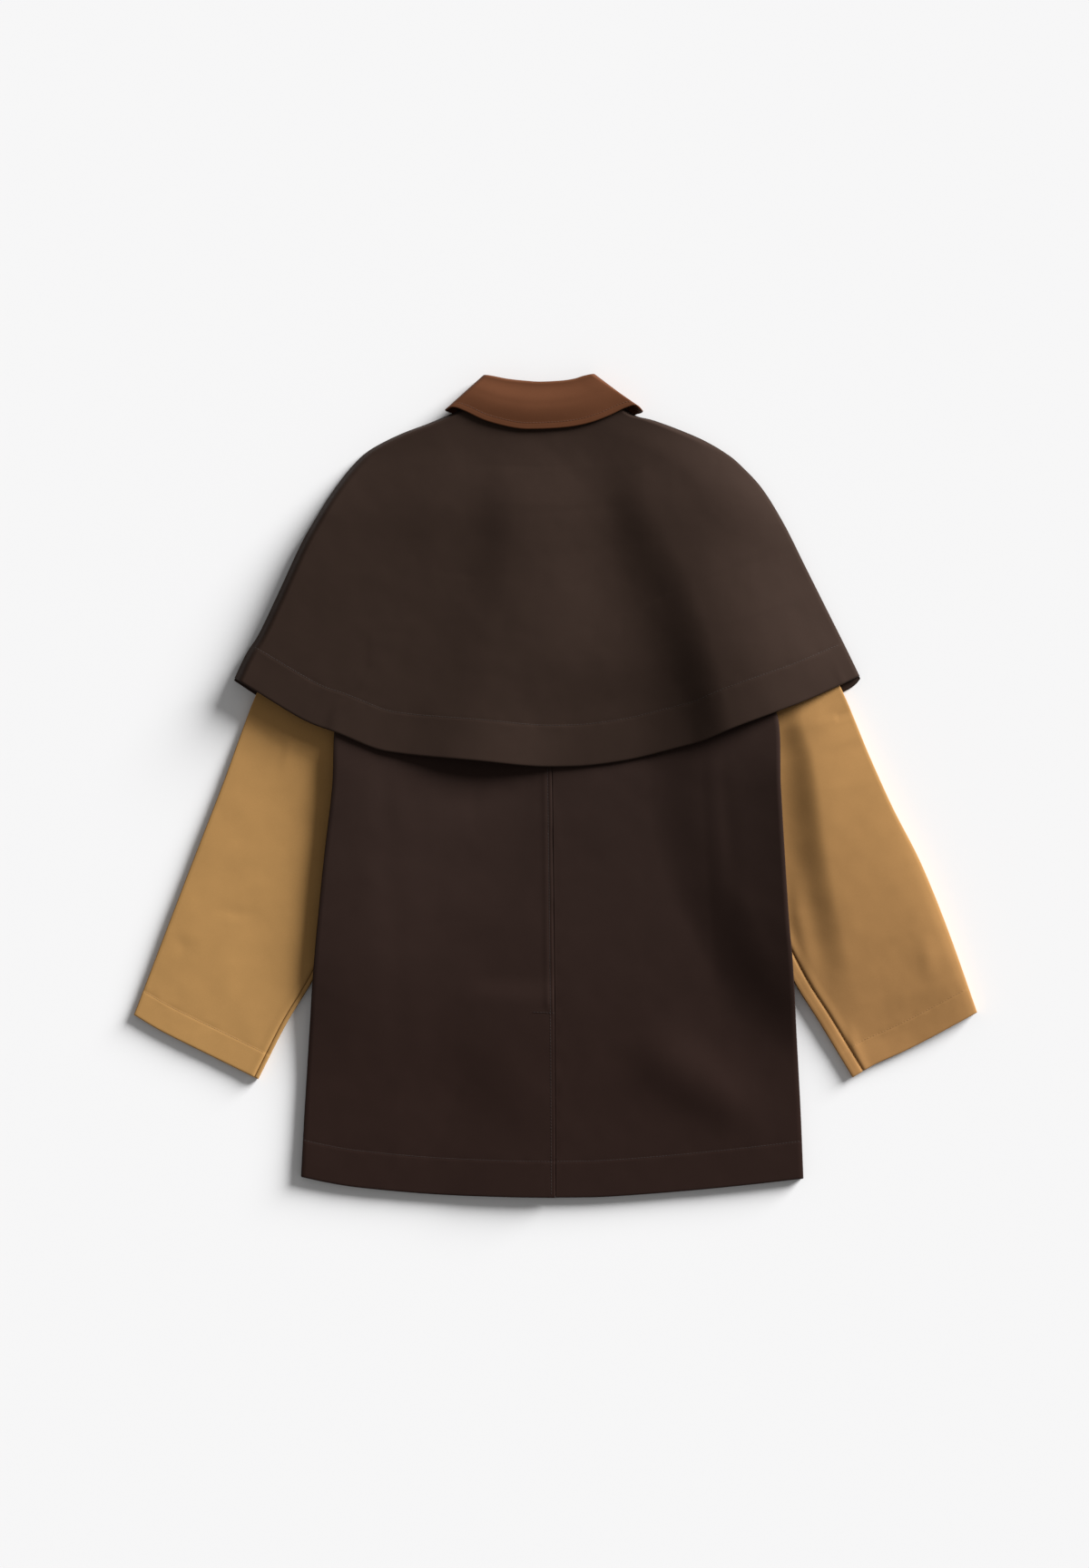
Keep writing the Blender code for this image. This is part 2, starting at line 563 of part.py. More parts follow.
def build_cape():
    radius = EDGE_ROUND
    left, right = Line(*CAPE_LEFT), Line(*CAPE_RIGHT)

    def over(x, y, edge, level):
        middle = cape_front_under(x, y) + radius + FOLD_SEAM
        return middle + level * (cape_over(x, y, edge) - middle)

    def under(x, y, edge, level):
        return cape_front_under(x, y) + (1 + level) * (radius - FOLD_SEAM)

    at = coons(Line(*CAPE_NECK), Line(*CAPE_HEM), left, right)
    edges = round_edge(radius, 1), round_edge(radius, 1)
    add_wall(place_grid("cape_back", CELLS["cape_back"], at, *edges, over), DARK, -1)

    opening_left, opening_right = ((-22, 350), (-12, 200), (-8, 16)), ((-12, 350), (-6, 200), (-2, 16))
    neck_left = moved(FRONT_NECK_LEFT[1:-1], dx=-NECK_SEAM, dy=-NECK_SEAM)
    neck_right = moved(FRONT_NECK_RIGHT[1:-1], dx=NECK_SEAM, dy=-NECK_SEAM)
    top = Line(CAPE_LEFT[0], (-92, 416), *neck_left, opening_left[0])
    outer = Line(*CAPE_LEFT[:-1], CAPE_FRONT_HEM_LEFT[0])
    at = coons(top, Line(*CAPE_FRONT_HEM_LEFT), outer, Line(*opening_left))
    edges = round_edge(radius, -1), plain_edge(0.0, -1.0)
    add_wall(place_grid("cape_front_left", CELLS["cape_front"], at, *edges, under), DARK, 1)
    top = Line(opening_right[0], *neck_right, (58, 416), CAPE_RIGHT[0])
    outer = Line(*CAPE_RIGHT[:-1], CAPE_FRONT_HEM_RIGHT[-1])
    at = coons(top, Line(*CAPE_FRONT_HEM_RIGHT), Line(*opening_right), outer)
    add_wall(place_grid("cape_front_right", CELLS["cape_front"], at, *edges[::-1], under), DARK, 1)


def build_collar():
    """One band, from the stand at the neck seam, over the roll, to the fall's edge. Both ends fold round."""
    half = COLLAR_WALL / 2
    roll = Line(*COLLAR_ROLL)
    edge, seam = Line(*COLLAR_EDGE), Line(*BACK_NECK)
    front = {
        -1: (Line(*ROLL_FRONT_LEFT), Line(*EDGE_FRONT_LEFT), Line(*FRONT_NECK_LEFT[::-1])),
        1: (Line(*ROLL_FRONT_RIGHT), Line(*EDGE_FRONT_RIGHT), Line(*FRONT_NECK_RIGHT[::-1])),
    }
    low_roll, high_roll = half + ROLL_RADIUS, half + 2 * ROLL_RADIUS + 2 * half + 3.6 + ROLL_RADIUS

    # Rows: which side of the roll (-1 stand, 1 fall), the share of the way down it, and the roll's angle.
    rows = [(-1, 1.0, -90), (-1, 0.6, -90), (-1, 0.2, -90), (-1, 0.0, -45), (1, 0.0, 0)]
    rows += [(1, 0.0, 45), (1, 0.1, 90), (1, 0.4, 90), (1, 0.7, 90), (1, 1.0, 90)]
    fronts, across, fronts_right = COLLAR_CELLS
    fold = [0.0, 30.0, 60.0, 90.0]
    columns = [(-1, i / fronts, None) for i in range(fronts)]
    columns += [(-1, 1.0, -a) for a in fold[::-1]] + [(0, 0.0, a) for a in fold[1:]]
    columns += [(0, i / across, None) for i in range(1, across)]
    columns += [(0, 1.0, a) for a in fold[::-1]] + [(1, 0.0, -a) for a in fold[1:]]
    columns += [(1, i / fronts_right, None) for i in range(1, fronts_right + 1)]

    def plan(branch, share, inset, row):
        """The row's point at a share along the branch, or at an inset from the fold there."""
        roll_line, edge_line, seam_line = (roll, edge, seam) if branch == 0 else front[branch]
        line = edge_line if row[0] > 0 else seam_line
        near_end = share < 0.5
        if inset is not None:
            step = inset / (0.5 * (roll_line.length + line.length))
            share = step if near_end else 1 - step
        else:
            step = COLLAR_FOLD / (0.5 * (roll_line.length + line.length))
            folded_ends = {-1: (0, 1), 0: (1, 1), 1: (1, 0)}[branch]
            share = step * folded_ends[0] + share * (1 - step * sum(folded_ends))
        start, end = roll_line.at(share), line.at(share)
        depth = float(np.hypot(*(end - start)))
        turned = ROLL_RADIUS * (1 - cos(radians(row[2]))) + half
        down = (turned + row[1] * (depth - turned)) / depth
        return start + down * (end - start)

    def heights(x, y, row):
        """Heights of the row on the lower and the upper branch."""
        turn = ROLL_RADIUS * sin(radians(row[2]))
        low, high = low_roll - turn, high_roll + turn
        if row[0] > 0:
            resting = cape_over(x, min(y, 405), 90.0) + REST + half
            return low, high + (resting - high) * smooth(row[1] * 1.2)
        seam_high = back_over(x, y) - WALL / 2
        seam_low = front_under(x, y) + WALL / 2
        return low + (seam_low - low) * row[1], high + (seam_high - high) * row[1]

    mesh = bmesh.new()
    bmesh.ops.create_grid(mesh, x_segments=len(columns) - 1, y_segments=len(rows) - 1, size=0.5)
    for point in mesh.verts:
        branch, share, angle = columns[round((point.co.x + 0.5) * (len(columns) - 1))]
        row = rows[round((point.co.y + 0.5) * (len(rows) - 1))]
        inset = None if angle is None else COLLAR_FOLD * (1 - cos(radians(angle)))
        x, y = plan(branch, share, inset, row)
        low, high = (float(z) for z in heights(x, y, row))
        level = (-1.0 if branch else 1.0) if angle is None else sin(radians(angle))
        point.co = (x * MM, y * MM, ((low + high) / 2 + level * (high - low) / 2) * MM)
    bmesh.ops.recalc_face_normals(mesh, faces=mesh.faces)
    add_wall(finish_piece("collar", mesh), RUST, 0, COLLAR_WALL)


def cloth(name):
    colour, roughness = CLOTHS[name]
    material = bpy.data.materials.new(name)
    material.use_nodes = True
    shader = material.node_tree.nodes["Principled BSDF"]
    shader.inputs["Base Color"].default_value = (*colour, 1.0)
    shader.inputs["Roughness"].default_value = roughness
    return material


for old in list(bpy.data.objects):
    bpy.data.objects.remove(old)
COAT = bpy.data.collections.new("caped_coat")
bpy.context.scene.collection.children.link(COAT)
DARK, TAN, RUST = cloth("dark_cloth"), cloth("tan_cloth"), cloth("rust_cloth")
build_body()
build_vent_underlap()
build_sleeve("left", ARMHOLE_LEFT, SLEEVE_OUTER_LEFT, SLEEVE_INNER_LEFT, CUFF_LEFT, SEAM_WRAP_LEFT)
build_sleeve("right", ARMHOLE_RIGHT, SLEEVE_OUTER_RIGHT, SLEEVE_INNER_RIGHT, CUFF_RIGHT, SEAM_WRAP_RIGHT)
build_cape()
build_collar()
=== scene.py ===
"""The looks of a short caped coat that lies face down on a pale floor, seen from straight above.

Plan sizes are in millimetres: x to the wearer's right, y towards the collar, z up from the floor.
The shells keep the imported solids' outlines and layers, and add finer folds, hems, seams and stitches.
"""

from math import cos, radians, sin
from types import SimpleNamespace

import bmesh
import bpy
import numpy as np
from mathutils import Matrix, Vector


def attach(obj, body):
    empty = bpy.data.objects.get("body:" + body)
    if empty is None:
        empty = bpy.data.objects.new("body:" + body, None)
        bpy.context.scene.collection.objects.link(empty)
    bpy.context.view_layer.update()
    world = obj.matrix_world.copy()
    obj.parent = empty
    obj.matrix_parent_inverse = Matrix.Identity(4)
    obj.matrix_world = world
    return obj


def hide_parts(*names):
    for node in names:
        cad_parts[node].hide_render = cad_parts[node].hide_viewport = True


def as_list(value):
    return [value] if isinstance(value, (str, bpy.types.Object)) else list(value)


MM = 0.001

# Cloth, in millimetres. SOLID is a solid's wall, which the layers' heights count with.
SOLID, PLY, COLLAR_PLY = 1.6, 1.1, 1.5
REST = 1.4  # gap between a layer and the one that it lies on
SEAM_GAP = 0.15  # half the gap between two pieces at a seam
FOLD_GAP = 0.12  # half the gap where two pieces meet at the middle of a folded edge
NECK_SEAM = 2.0  # how far the body's neck edge stays off the collar's seam
BODY_THICK, SLEEVE_THICK, CAPE_EDGE_THICK = 10.0, 7.5, 8.0
ROLL_RADIUS, COLLAR_WALL = 2.5, 2.0
COLLAR_FOLD = 8.0  # how far the fold at the collar's ends reaches
ROLL_OVER = 6.0  # how much the roll's top stands over its plain fold
LAP, UNDERLAP, VENT_TOP = 30.0, 25.0, -249.0
# Over a lower layer's edge the upper one keeps its height for CLEAR, and then comes down over DRAPE.
DRAPE, CLEAR = 30.0, 10.0
SLEEVE_DRAPE, SLEEVE_CLEAR = 20.0, 8.0
CAPE_CLEAR, CAPE_DRAPE = 12.0, 30.0
OUTER_CLEAR, OUTER_DRAPE = 4, 14  # the cape over the right sleeve's outer edge
BRIDGE = 110.0  # width over which a top layer bridges a small step beneath
LEFT_BRIDGE, RIGHT_BRIDGE = 170.0, 80.0  # the same beside the sleeves under the body
CAPE_LOFT = 5.0
RIM, SHOULDER_RIM, RIGHT_RIM = 8.0, 60.0, 110.0  # width of the cape's slope down to its edge
EDGE_ROUND = 1.3  # how far in from a folded edge its rounding reaches
NECK_HOLLOW, NECK_MIDDLE, NECK_REACH = 2.0, (-17, 400), (80, 60)
COLLAR_DOME = 3.5  # how much the collar's fall stands up at its middle over its ends
COLLAR_MIDDLE, COLLAR_HALF = -14.0, 100
COLLAR_TOP = 405  # above this y the fall's height over the cape no longer changes
COLLAR_INWARDS = 90.0  # distance from the cape's edge that the fall's height is read at
LEFT_LIFT, RIGHT_LIFT = 3.5, 13.0  # how much further the back's sides stand up
BUNCHED_WIDTH = 85  # how far inwards from its edge the right side stands up
OVER_CAPE_FRONT = OVER_FRONT = SOLID + REST
OVER_COLLAR = COLLAR_WALL + REST
OVER_SLEEVE = SLEEVE_THICK + REST
OVER_LEFT_SLEEVE = OVER_SLEEVE + 1  # how much the left sleeve lifts the cape
CAPE_BLEND, OUTER_BLEND = 3.0, 2.0  # how softly the cape comes to rest on the body, and on the right sleeve
OPEN_COLUMN = 0.4  # spacing of a fold's columns where it lies open

# Turned hems, seams and their stitching.
BODY_HEM, CAPE_HEM_DEPTH, CUFF_HEM = 40.0, 39.0, 29.0
HEM_PLY = 0.24  # how much the turned-up ply raises the hem
HEM_DIMPLE, HEM_PUCKER = -0.26, 0.16  # along its stitches
EDGE_ROLL = 1.6  # radius of the hem's folded edge
SEAM_GROOVE, SEAM_RIDGE, SEAM_DIMPLE, SEAM_PUCKER = -0.55, 0.4, -0.3, 0.14
SEAM_ALLOWANCE = 9.0
SLEEVE_GROOVE, SLEEVE_RIDGE = -0.9, 0.5
TOPSTITCH = 4.5  # beside the centre back seam
COLLAR_TOPSTITCH, COLLAR_RIDGE, COLLAR_DIMPLE = 7.0, 0.35, -0.3
STITCH_PITCH, STITCH_LENGTH, STITCH_RADIUS = 3.4, 2.5, 0.26
STITCH_LIFT = 0.1  # height of a stitch's middle over the cloth
BAR_LIFT = 0.35  # the same for the bar of stitches over the vent
STITCH_REACH = 0.8  # how far each way the slope under a stitch is read
STITCH_SIDES = 6
# Rings of a stitch: place along it and share of its radius.
STITCH_RINGS = ((-0.5, 0.35), (-0.32, 0.85), (0, 1.0), (0.32, 0.85), (0.5, 0.35))
WORN = ((0.34, 46.0), (0.16, 19.0), (0.04, 8.0))  # height of each size of the cloth's unevenness
SEEDS = {
    "hem": 3, "seam": 5, "back_left": 11, "back_right": 21,
    "sleeve_left": 31, "sleeve_right": 41, "cape": 51,
}

# Faces across and down between a piece's edge columns and rows.
CELLS = {
    "back_left": (68, 190), "back_right": (68, 190), "front_left": (56, 130), "front_right": (56, 130),
    "vent_underlap": (12, 60), "sleeve_left_back": (44, 150), "sleeve_right_back": (44, 150),
    "sleeve_left_front": (32, 120), "sleeve_right_front": (32, 120), "cape_back": (210, 150),
    "cape_front_left": (64, 80), "cape_front_right": (64, 80),
}
# The same for the collar: rows of its stand and fall, columns of a front end and of its back.
STAND_ROWS, FALL_ROWS, FRONT_COLUMNS, BACK_COLUMNS = 16, 36, 24, 110

# Where in plan something begins and where it is complete, as x or y.
SLEEVE_TOP = (205, 155)  # y: the sleeves under the body's sides
OUTER_TOP = (305, 275)  # y: the cape held up by the right sleeve's outer edge
SIDE_FOOT, LIFT_FOOT = (-330, -180), (-330, -130)  # y: the sides' height over the sleeves, and their lift
LIFT_TOP, LEFT_LIFT_SIDE = (120, 0), (-120, -240)  # y and x: the sides' lift
SIDES_FOLDED, SLEEVES_FOLDED = (104, 84), (150, 120)  # y: the folded side edges and inner sleeve edges
CAPE_SHOULDERS = (400, 290)  # y: the cape's height below its neck
CAPE_SLOW_SIDE, CAPE_SLOW_TOP = (20, 120), (420, 360)  # x and y: the cape's slow slope
CAPE_SLOW_WIDER = (330, 240)  # y: that slope's greater width
CAPE_LOFT_SIDE, CAPE_LOFT_FOOT = (-100, 20), (50, 160)  # x and y: the cape's loft
CAPE_BRIDGE = (30, 130)  # x to which the cape bridges from the left sleeve, at its hem and above
CAPE_BRIDGE_RISE, CAPE_BRIDGE_LEFT = (60, 140), -160  # y of that change, and x where the bridge starts

# Outlines in plan, (x, y).
SHOULDER_LEFT, SHOULDER_RIGHT = (-208, 330), (194, 330)
NECK_LEFT, NECK_RIGHT = (-90, 413), (56, 413)
ARMHOLE_LEFT = (SHOULDER_LEFT, (-201, 262), (-198, 190), (-199, 130))
ARMHOLE_RIGHT = ((184, 130), (184, 190), (187, 262), SHOULDER_RIGHT)
SIDE_LEFT = (
    (-216, 98), (-240, 80), (-245, 0), (-253, -69), (-259, -127), (-266, -204), (-275, -339), (-280, -430),
)
SIDE_RIGHT = ((206, 98), (242, 82), (247, 0), (251, -69), (256, -146), (261, -204), (269, -339), (273, -432))
CENTRE_BACK = ((-12, 408), (-8, 200), (-4, 20), (-1, -250), (0, -453))
HEM_LEFT = ((-280, -430), (-253, -436), (-215, -442), (-137, -449), (-60, -452), (0, -453))
HEM_RIGHT = ((0, -453), (56, -452), (133, -446.5), (211, -439), (273, -432))
BACK_NECK = ((-88, 420.5), (-60, 412.5), (-17, 408.5), (24, 412.5), (54, 420.5))
NECK_SHARES = (0.14, 0.26, 0.38, 0.54, 0.66, 0.78, 0.88)
FRONT_NECK_LEFT = ((-88, 420.5), (-74, 386), (-42, 358), (-19, 352))
FRONT_NECK_RIGHT = ((-15, 352), (8, 358), (40, 386), (54, 420.5))
SLEEVE_OUTER_LEFT = ((-224, 310), (-275, 212), (-329, 101), (-367, 0), (-405, -98), (-464, -252))
SLEEVE_INNER_LEFT = (
    (-199, 130), (-201, 80), (-204, 20), (-207, -40), (-216, -100), (-239, -160), (-268, -216),
    (-296, -262), (-327, -323),
)
CUFF_LEFT = ((-464, -252), (-434, -270), (-386, -294), (-327, -323))
SLEEVE_OUTER_RIGHT = (
    (210, 310), (262, 212), (314, 108), (345, 34), (371, -24), (402, -85), (432, -159), (464, -249),
)
SLEEVE_INNER_RIGHT = (
    (184, 130), (185, 80), (187, 20), (192, -40), (207, -100), (234, -160), (263, -217), (290, -260),
    (327, -321),
)
CUFF_RIGHT = ((327, -321), (351, -307), (384, -292), (415, -276), (464, -249))
SEAM_WRAP_LEFT, SEAM_WRAP_RIGHT = 5.0, 14.0  # how far the under sleeves wrap round to the top
CAPE_LEFT = (
    (-101, 419), (-109, 412), (-118, 407.8), (-139, 399), (-172, 386.5), (-204, 370), (-223, 353),
    (-242, 329), (-262, 298), (-281, 264), (-305, 212), (-326, 168), (-340, 146), (-353, 119),
)
CAPE_RIGHT = (
    (76, 418), (82, 411), (92, 405.8), (108, 402), (136, 392), (164, 380), (188, 366), (204, 353),
    (228, 327), (252, 288), (276, 240), (300, 192), (319, 154), (335, 121),
)
CAPE_NECK = ((-101, 419), (-88, 417), (-60, 410), (-17, 406), (24, 410), (54, 417), (76, 418))
CAPE_HEM = (
    (-353, 119), (-329, 104), (-276, 72), (-240, 58), (-199, 41), (-172, 35.5), (-137, 31.6), (-84, 27),
    (-36, 22), (-5, 20.6), (36, 22), (84, 29), (132, 41), (161, 49), (194, 63), (242, 81), (276, 94),
    (314, 111), (335, 121),
)
CAPE_FRONT_HEM_LEFT = ((-354, 116), (-330, 100), (-276, 66), (-199, 36), (-137, 27), (-70, 20), (-8, 16))
CAPE_FRONT_HEM_RIGHT = (
    (-2, 16), (66, 22), (133, 36), (195, 55), (270, 84), (316, 103), (330, 111), (336, 118),
)
COLLAR_ROLL = (
    (-78, 451.5), (-68, 450), (-52, 447), (-33, 445), (-17, 444), (6, 445), (20, 447), (30, 450),
    (42, 452.6),
)
COLLAR_EDGE = (
    (-121, 412.5), (-112, 415), (-100, 411), (-76, 400), (-44, 392), (-20, 391), (12, 393), (36, 397.5),
    (57, 405), (76, 414), (88, 417), (96, 411),
)
ROLL_FRONT_LEFT = ((-22, 404), (-45, 425), (-78, 451.5))
ROLL_FRONT_RIGHT = ((42, 452.6), (11, 425), (-12, 404))
EDGE_FRONT_LEFT = ((-88, 330), (-104, 390), (-111, 408), (-121, 412.5))
EDGE_FRONT_RIGHT = ((96, 411), (86, 407), (74, 390), (56, 330))
COLLAR_REACH = ((-121, 412), (-92, 330), (60, 330), (96, 411), (42, 452), (-78, 451))

# Folds: for each point of a fold's line x, y, half widths on its left and right, and height.
BODY_FOLDS = {
    "left crease": (
        (-190, 60, 12, 12, 0), (-188, 10, 12, 12, -0.6), (-184, -60, 13, 13, -0.4),
        (-178, -130, 14, 14, -0.5), (-175, -240, 15, 15, -0.5), (-172, -300, 15, 15, 0),
    ),
    "right crease": (
        (182, 40, 8, 9, 0), (186, -20, 8, 10, -0.5), (191, -80, 8, 10, -0.5), (197, -140, 8, 10, 0),
    ),
    "under the flute": ((-150, 12, 40, 40, -2), (-90, 10, 44, 44, -4), (-40, 10, 40, 40, -2)),
    "right hem ridge": (
        (92, -262, 30, 30, 0), (122, -300, 34, 32, 5), (180, -342, 30, 30, 4.5), (240, -382, 26, 24, 0),
    ),
    "left hem hollow": (
        (-170, -330, 40, 50, 0), (-112, -350, 44, 44, -2.0), (-60, -380, 40, 36, -1.5),
        (-10, -420, 30, 30, 0),
    ),
}
CAPE_FOLDS = {
    "centre ridge": (
        (-45, 350, 34, 50, 1), (-46, 310, 34, 60, 4), (-47, 270, 34, 66, 5), (-52, 220, 42, 70, 5.5),
        (-64, 170, 50, 80, 5.5), (-72, 120, 54, 80, 6), (-80, 70, 58, 76, 7.5), (-84, 20, 60, 62, 9),
    ),
    "centre trough": (
        (50, 350, 60, 28, -2), (54, 305, 70, 32, -5), (60, 262, 70, 36, -5), (66, 215, 60, 38, -3),
        (72, 170, 50, 40, -1), (76, 125, 44, 40, 0),
    ),
    "right ridge": (
        (90, 345, 36, 60, 0), (122, 275, 38, 110, 5.5), (150, 220, 42, 120, 11), (168, 170, 44, 130, 15.5),
        (182, 120, 46, 130, 18.5), (191, 80, 48, 110, 21), (197, 35, 50, 80, 22),
    ),
}
SLEEVE_FOLDS = {
    "left slope": (
        (-330, 60, 40, 46, 0), (-385, -60, 36, 50, 1.5), (-420, -160, 34, 50, 1.5), (-440, -240, 30, 50, 0),
    ),
    "right ridge": (
        (268, 104, 16, 44, 0), (273, 66, 18, 50, 5), (284, 36, 22, 80, 8.5), (290, -4, 24, 100, 11),
        (297, -60, 26, 110, 11), (308, -120, 28, 110, 10), (320, -180, 30, 100, 7.5),
        (336, -240, 36, 90, 3.5), (346, -280, 38, 60, 0),
    ),
    "right outer rise": (
        (350, 0, 50, 22, 0), (385, -80, 56, 22, 3.5), (414, -150, 62, 22, 6.5), (440, -215, 62, 22, 6.5),
        (457, -262, 55, 22, 4),
    ),
    "right creases": ((402, -158, 9, 9, 0), (407, -185, 10, 10, 1.0), (411, -216, 9, 9, 0)),
    "right cuff crease": ((320, -258, 4, 5, 0), (329, -284, 4, 6, 1.1), (338, -304, 5, 6, 0.3)),
    "left creases": ((-425, -163, 8, 8, 0), (-410, -175, 9, 9, -0.6), (-392, -179, 8, 8, 0)),
    "left middle crease": ((-378, -135, 6, 6, 0), (-350, -141, 7, 7, -0.6), (-322, -138, 6, 6, 0)),
    "left top crease": ((-289, 66, 5, 6, 0), (-294, 40, 5, 6, 0.8), (-301, 12, 5, 6, 0)),
    "right inner fold": (
        (264, -90, 8, 12, 0), (268, -140, 8, 12, 2), (278, -190, 8, 12, 1.5), (292, -236, 8, 12, 0),
    ),
}


def smooth(share):
    """0 below 0, 1 above 1, and a soft S between."""
    t = np.clip(share, 0, 1)
    return t * t * (3 - 2 * t)


def ramp(value, start, end):
    """0 up to start, 1 past end, and a soft S between. It comes down where end is the lower one."""
    return smooth((value - start) / (end - start))


def soft_max(a, b, blend):
    """The greater of two heights, rounded where they cross."""
    h = np.clip(0.5 + (a - b) / (2 * blend), 0, 1)
    return b + (a - b) * h + blend * h * (1 - h)


def bell(distance, width):
    return np.exp(-((distance / width) ** 2))


class Line:
    """A smooth line through points of the plan, read by its share of length."""

    STEPS = 12

    def __init__(self, *points):
        knots = np.array(points, float)
        ends = np.vstack([2 * knots[0] - knots[1], knots, 2 * knots[-1] - knots[-2]])
        t = np.linspace(0, 1, self.STEPS, endpoint=False)[:, None]
        spans = [self.span(*ends[i : i + 4], t) for i in range(len(knots) - 1)]
        self.points = np.vstack([*spans, knots[-1:]])
        lengths = np.hypot(*np.diff(self.points, axis=0).T)
        self.length = lengths.sum()
        self.shares = np.concatenate([[0], np.cumsum(lengths)]) / self.length

    @staticmethod
    def span(before, start, end, after, t):
        """Catmull-Rom from start to end."""
        square = 2 * before - 5 * start + 4 * end - after
        cube = 3 * (start - end) + after - before
        return start + 0.5 * t * (end - before + t * (square + t * cube))

    def at(self, share):
        return np.stack([np.interp(share, self.shares, axis) for axis in self.points.T], axis=-1)

    def x_at(self, y):
        order = np.argsort(self.points[:, 1])
        return np.interp(y, self.points[order, 1], self.points[order, 0])

    def y_at(self, x):
        order = np.argsort(self.points[:, 0])
        return np.interp(x, self.points[order, 0], self.points[order, 1])


def moved(points, dx=0.0, dy=0.0):
    return tuple((x + dx, y + dy) for x, y in points)


def nearest(points, x, y):
    """Distance to a polyline, the side of it from -1 (left) to 1 (right), and what its points carry."""
    best, side, carried = np.full(np.shape(x), np.inf), None, None
    for a, b in zip(points[:-1], points[1:]):
        a, b = np.array(a, float), np.array(b, float)
        step = b[:2] - a[:2]
        t = np.clip(((x - a[0]) * step[0] + (y - a[1]) * step[1]) / (step @ step), 0, 1)
        off_x, off_y = x - a[0] - t * step[0], y - a[1] - t * step[1]
        away = np.hypot(off_x, off_y)
        turn = (step[0] * off_y - step[1] * off_x) / (np.hypot(*step) * np.maximum(away, 1e-6))
        lean = np.clip(1.5 * turn, -1, 1)
        here = a[2:] + t[..., None] * (b[2:] - a[2:])
        side = lean if side is None else np.where(away < best, lean, side)
        carried = here if carried is None else np.where((away < best)[..., None], here, carried)
        best = np.minimum(best, away)
    return best, side, carried


def fold_height(folds, x, y):
    total = np.zeros(np.shape(x))
    for line in folds.values():
        away, side, shape = nearest(line, x, y)
        left, right, height = np.moveaxis(shape, -1, 0)
        total += height * bell(away, (left * (1 - side) + right * (1 + side)) / 2)
    return total


def ripple(x, y, size, seed):
    """Smooth seeded noise between -1 and 1, whose bumps are about size across."""
    lattice = np.random.default_rng(seed).uniform(-1, 1, (64, 64))
    u, v = np.asarray(x) / size + 32, np.asarray(y) / size + 32
    i, j = np.floor(u).astype(int), np.floor(v).astype(int)
    s, t = smooth(u - i), smooth(v - j)

    def corner(a, b):
        return lattice[(i + a) % 64, (j + b) % 64]

    low = corner(0, 0) * (1 - s) + corner(1, 0) * s
    high = corner(0, 1) * (1 - s) + corner(1, 1) * s
    return low * (1 - t) + high * t


def outside(polygon, x, y):
    """Distance outside a convex polygon, and 0 inside it."""
    corners = np.array(polygon + polygon[:1], float)
    turn = np.cross(corners[1] - corners[0], corners[2] - corners[1])
    within = np.full(np.shape(x), True)
    for a, b in zip(corners[:-1], corners[1:]):
        within &= turn * ((b[0] - a[0]) * (y - a[1]) - (b[1] - a[1]) * (x - a[0])) >= 0
    return np.where(within, 0, nearest([tuple(c) for c in corners], x, y)[0])


# The front neck edges of the body and the cape, inside the collar's seam.
INNER_NECK_LEFT = moved(FRONT_NECK_LEFT[1:], dx=-NECK_SEAM, dy=-NECK_SEAM)
INNER_NECK_RIGHT = moved(FRONT_NECK_RIGHT[:-1], dx=NECK_SEAM, dy=-NECK_SEAM)

# How far each lower layer lifts what lies on it.
CAPE_FRONT_HEM = Line(*CAPE_FRONT_HEM_LEFT, *CAPE_FRONT_HEM_RIGHT)
INNER_LEFT, INNER_RIGHT = Line(*SLEEVE_INNER_LEFT), Line(*SLEEVE_INNER_RIGHT)
OUTER_RIGHT = Line(*SLEEVE_OUTER_RIGHT)
BODY_LEFT, BODY_RIGHT = Line(*ARMHOLE_LEFT[3:], *SIDE_LEFT), Line(*ARMHOLE_RIGHT[:1], *SIDE_RIGHT)
LEFT_EDGE = Line((12, 347), (20, 100), (LAP, -451))
RIGHT_EDGE = Line((-46, 347), (-38, 100), (-LAP, -451))


def on_cape_front(x, y, drape=DRAPE):
    return smooth(1 - (CAPE_FRONT_HEM.y_at(x) - CLEAR - y) / drape)


def on_collar(x, y, drape=DRAPE):
    return smooth(1 - (outside(COLLAR_REACH, x, y) - CLEAR) / drape)


def on_sleeves(x, y, left_drape=SLEEVE_DRAPE, right_drape=SLEEVE_DRAPE):
    """1 where the body lies on a sleeve: the sleeves pass under its sides below the armholes."""
    left = smooth((INNER_LEFT.x_at(y) + SLEEVE_CLEAR + left_drape - x) / left_drape)
    right = smooth((x - INNER_RIGHT.x_at(y) + SLEEVE_CLEAR + right_drape) / right_drape)
    return np.maximum(left, right) * ramp(y, *SLEEVE_TOP)


def cape_front_under(x, y):
    return OVER_COLLAR * on_collar(x, y)


def sleeve_under(x, y):
    return OVER_CAPE_FRONT * on_cape_front(x, y)


def sleeve_over(x, y):
    return sleeve_under(x, y) + SLEEVE_THICK + fold_height(SLEEVE_FOLDS, x, y)


def front_under(x, y):
    lifted = OVER_SLEEVE * on_sleeves(x, y)
    return OVER_CAPE_FRONT * on_cape_front(x, y) + OVER_COLLAR * on_collar(x, y) + lifted


def lapped_front_under(x, y):
    """The left front, which lies on the right front past the centre."""
    lapped = x - RIGHT_EDGE.x_at(y) + CLEAR + DRAPE
    return front_under(x, y) + OVER_FRONT * smooth(lapped / DRAPE)


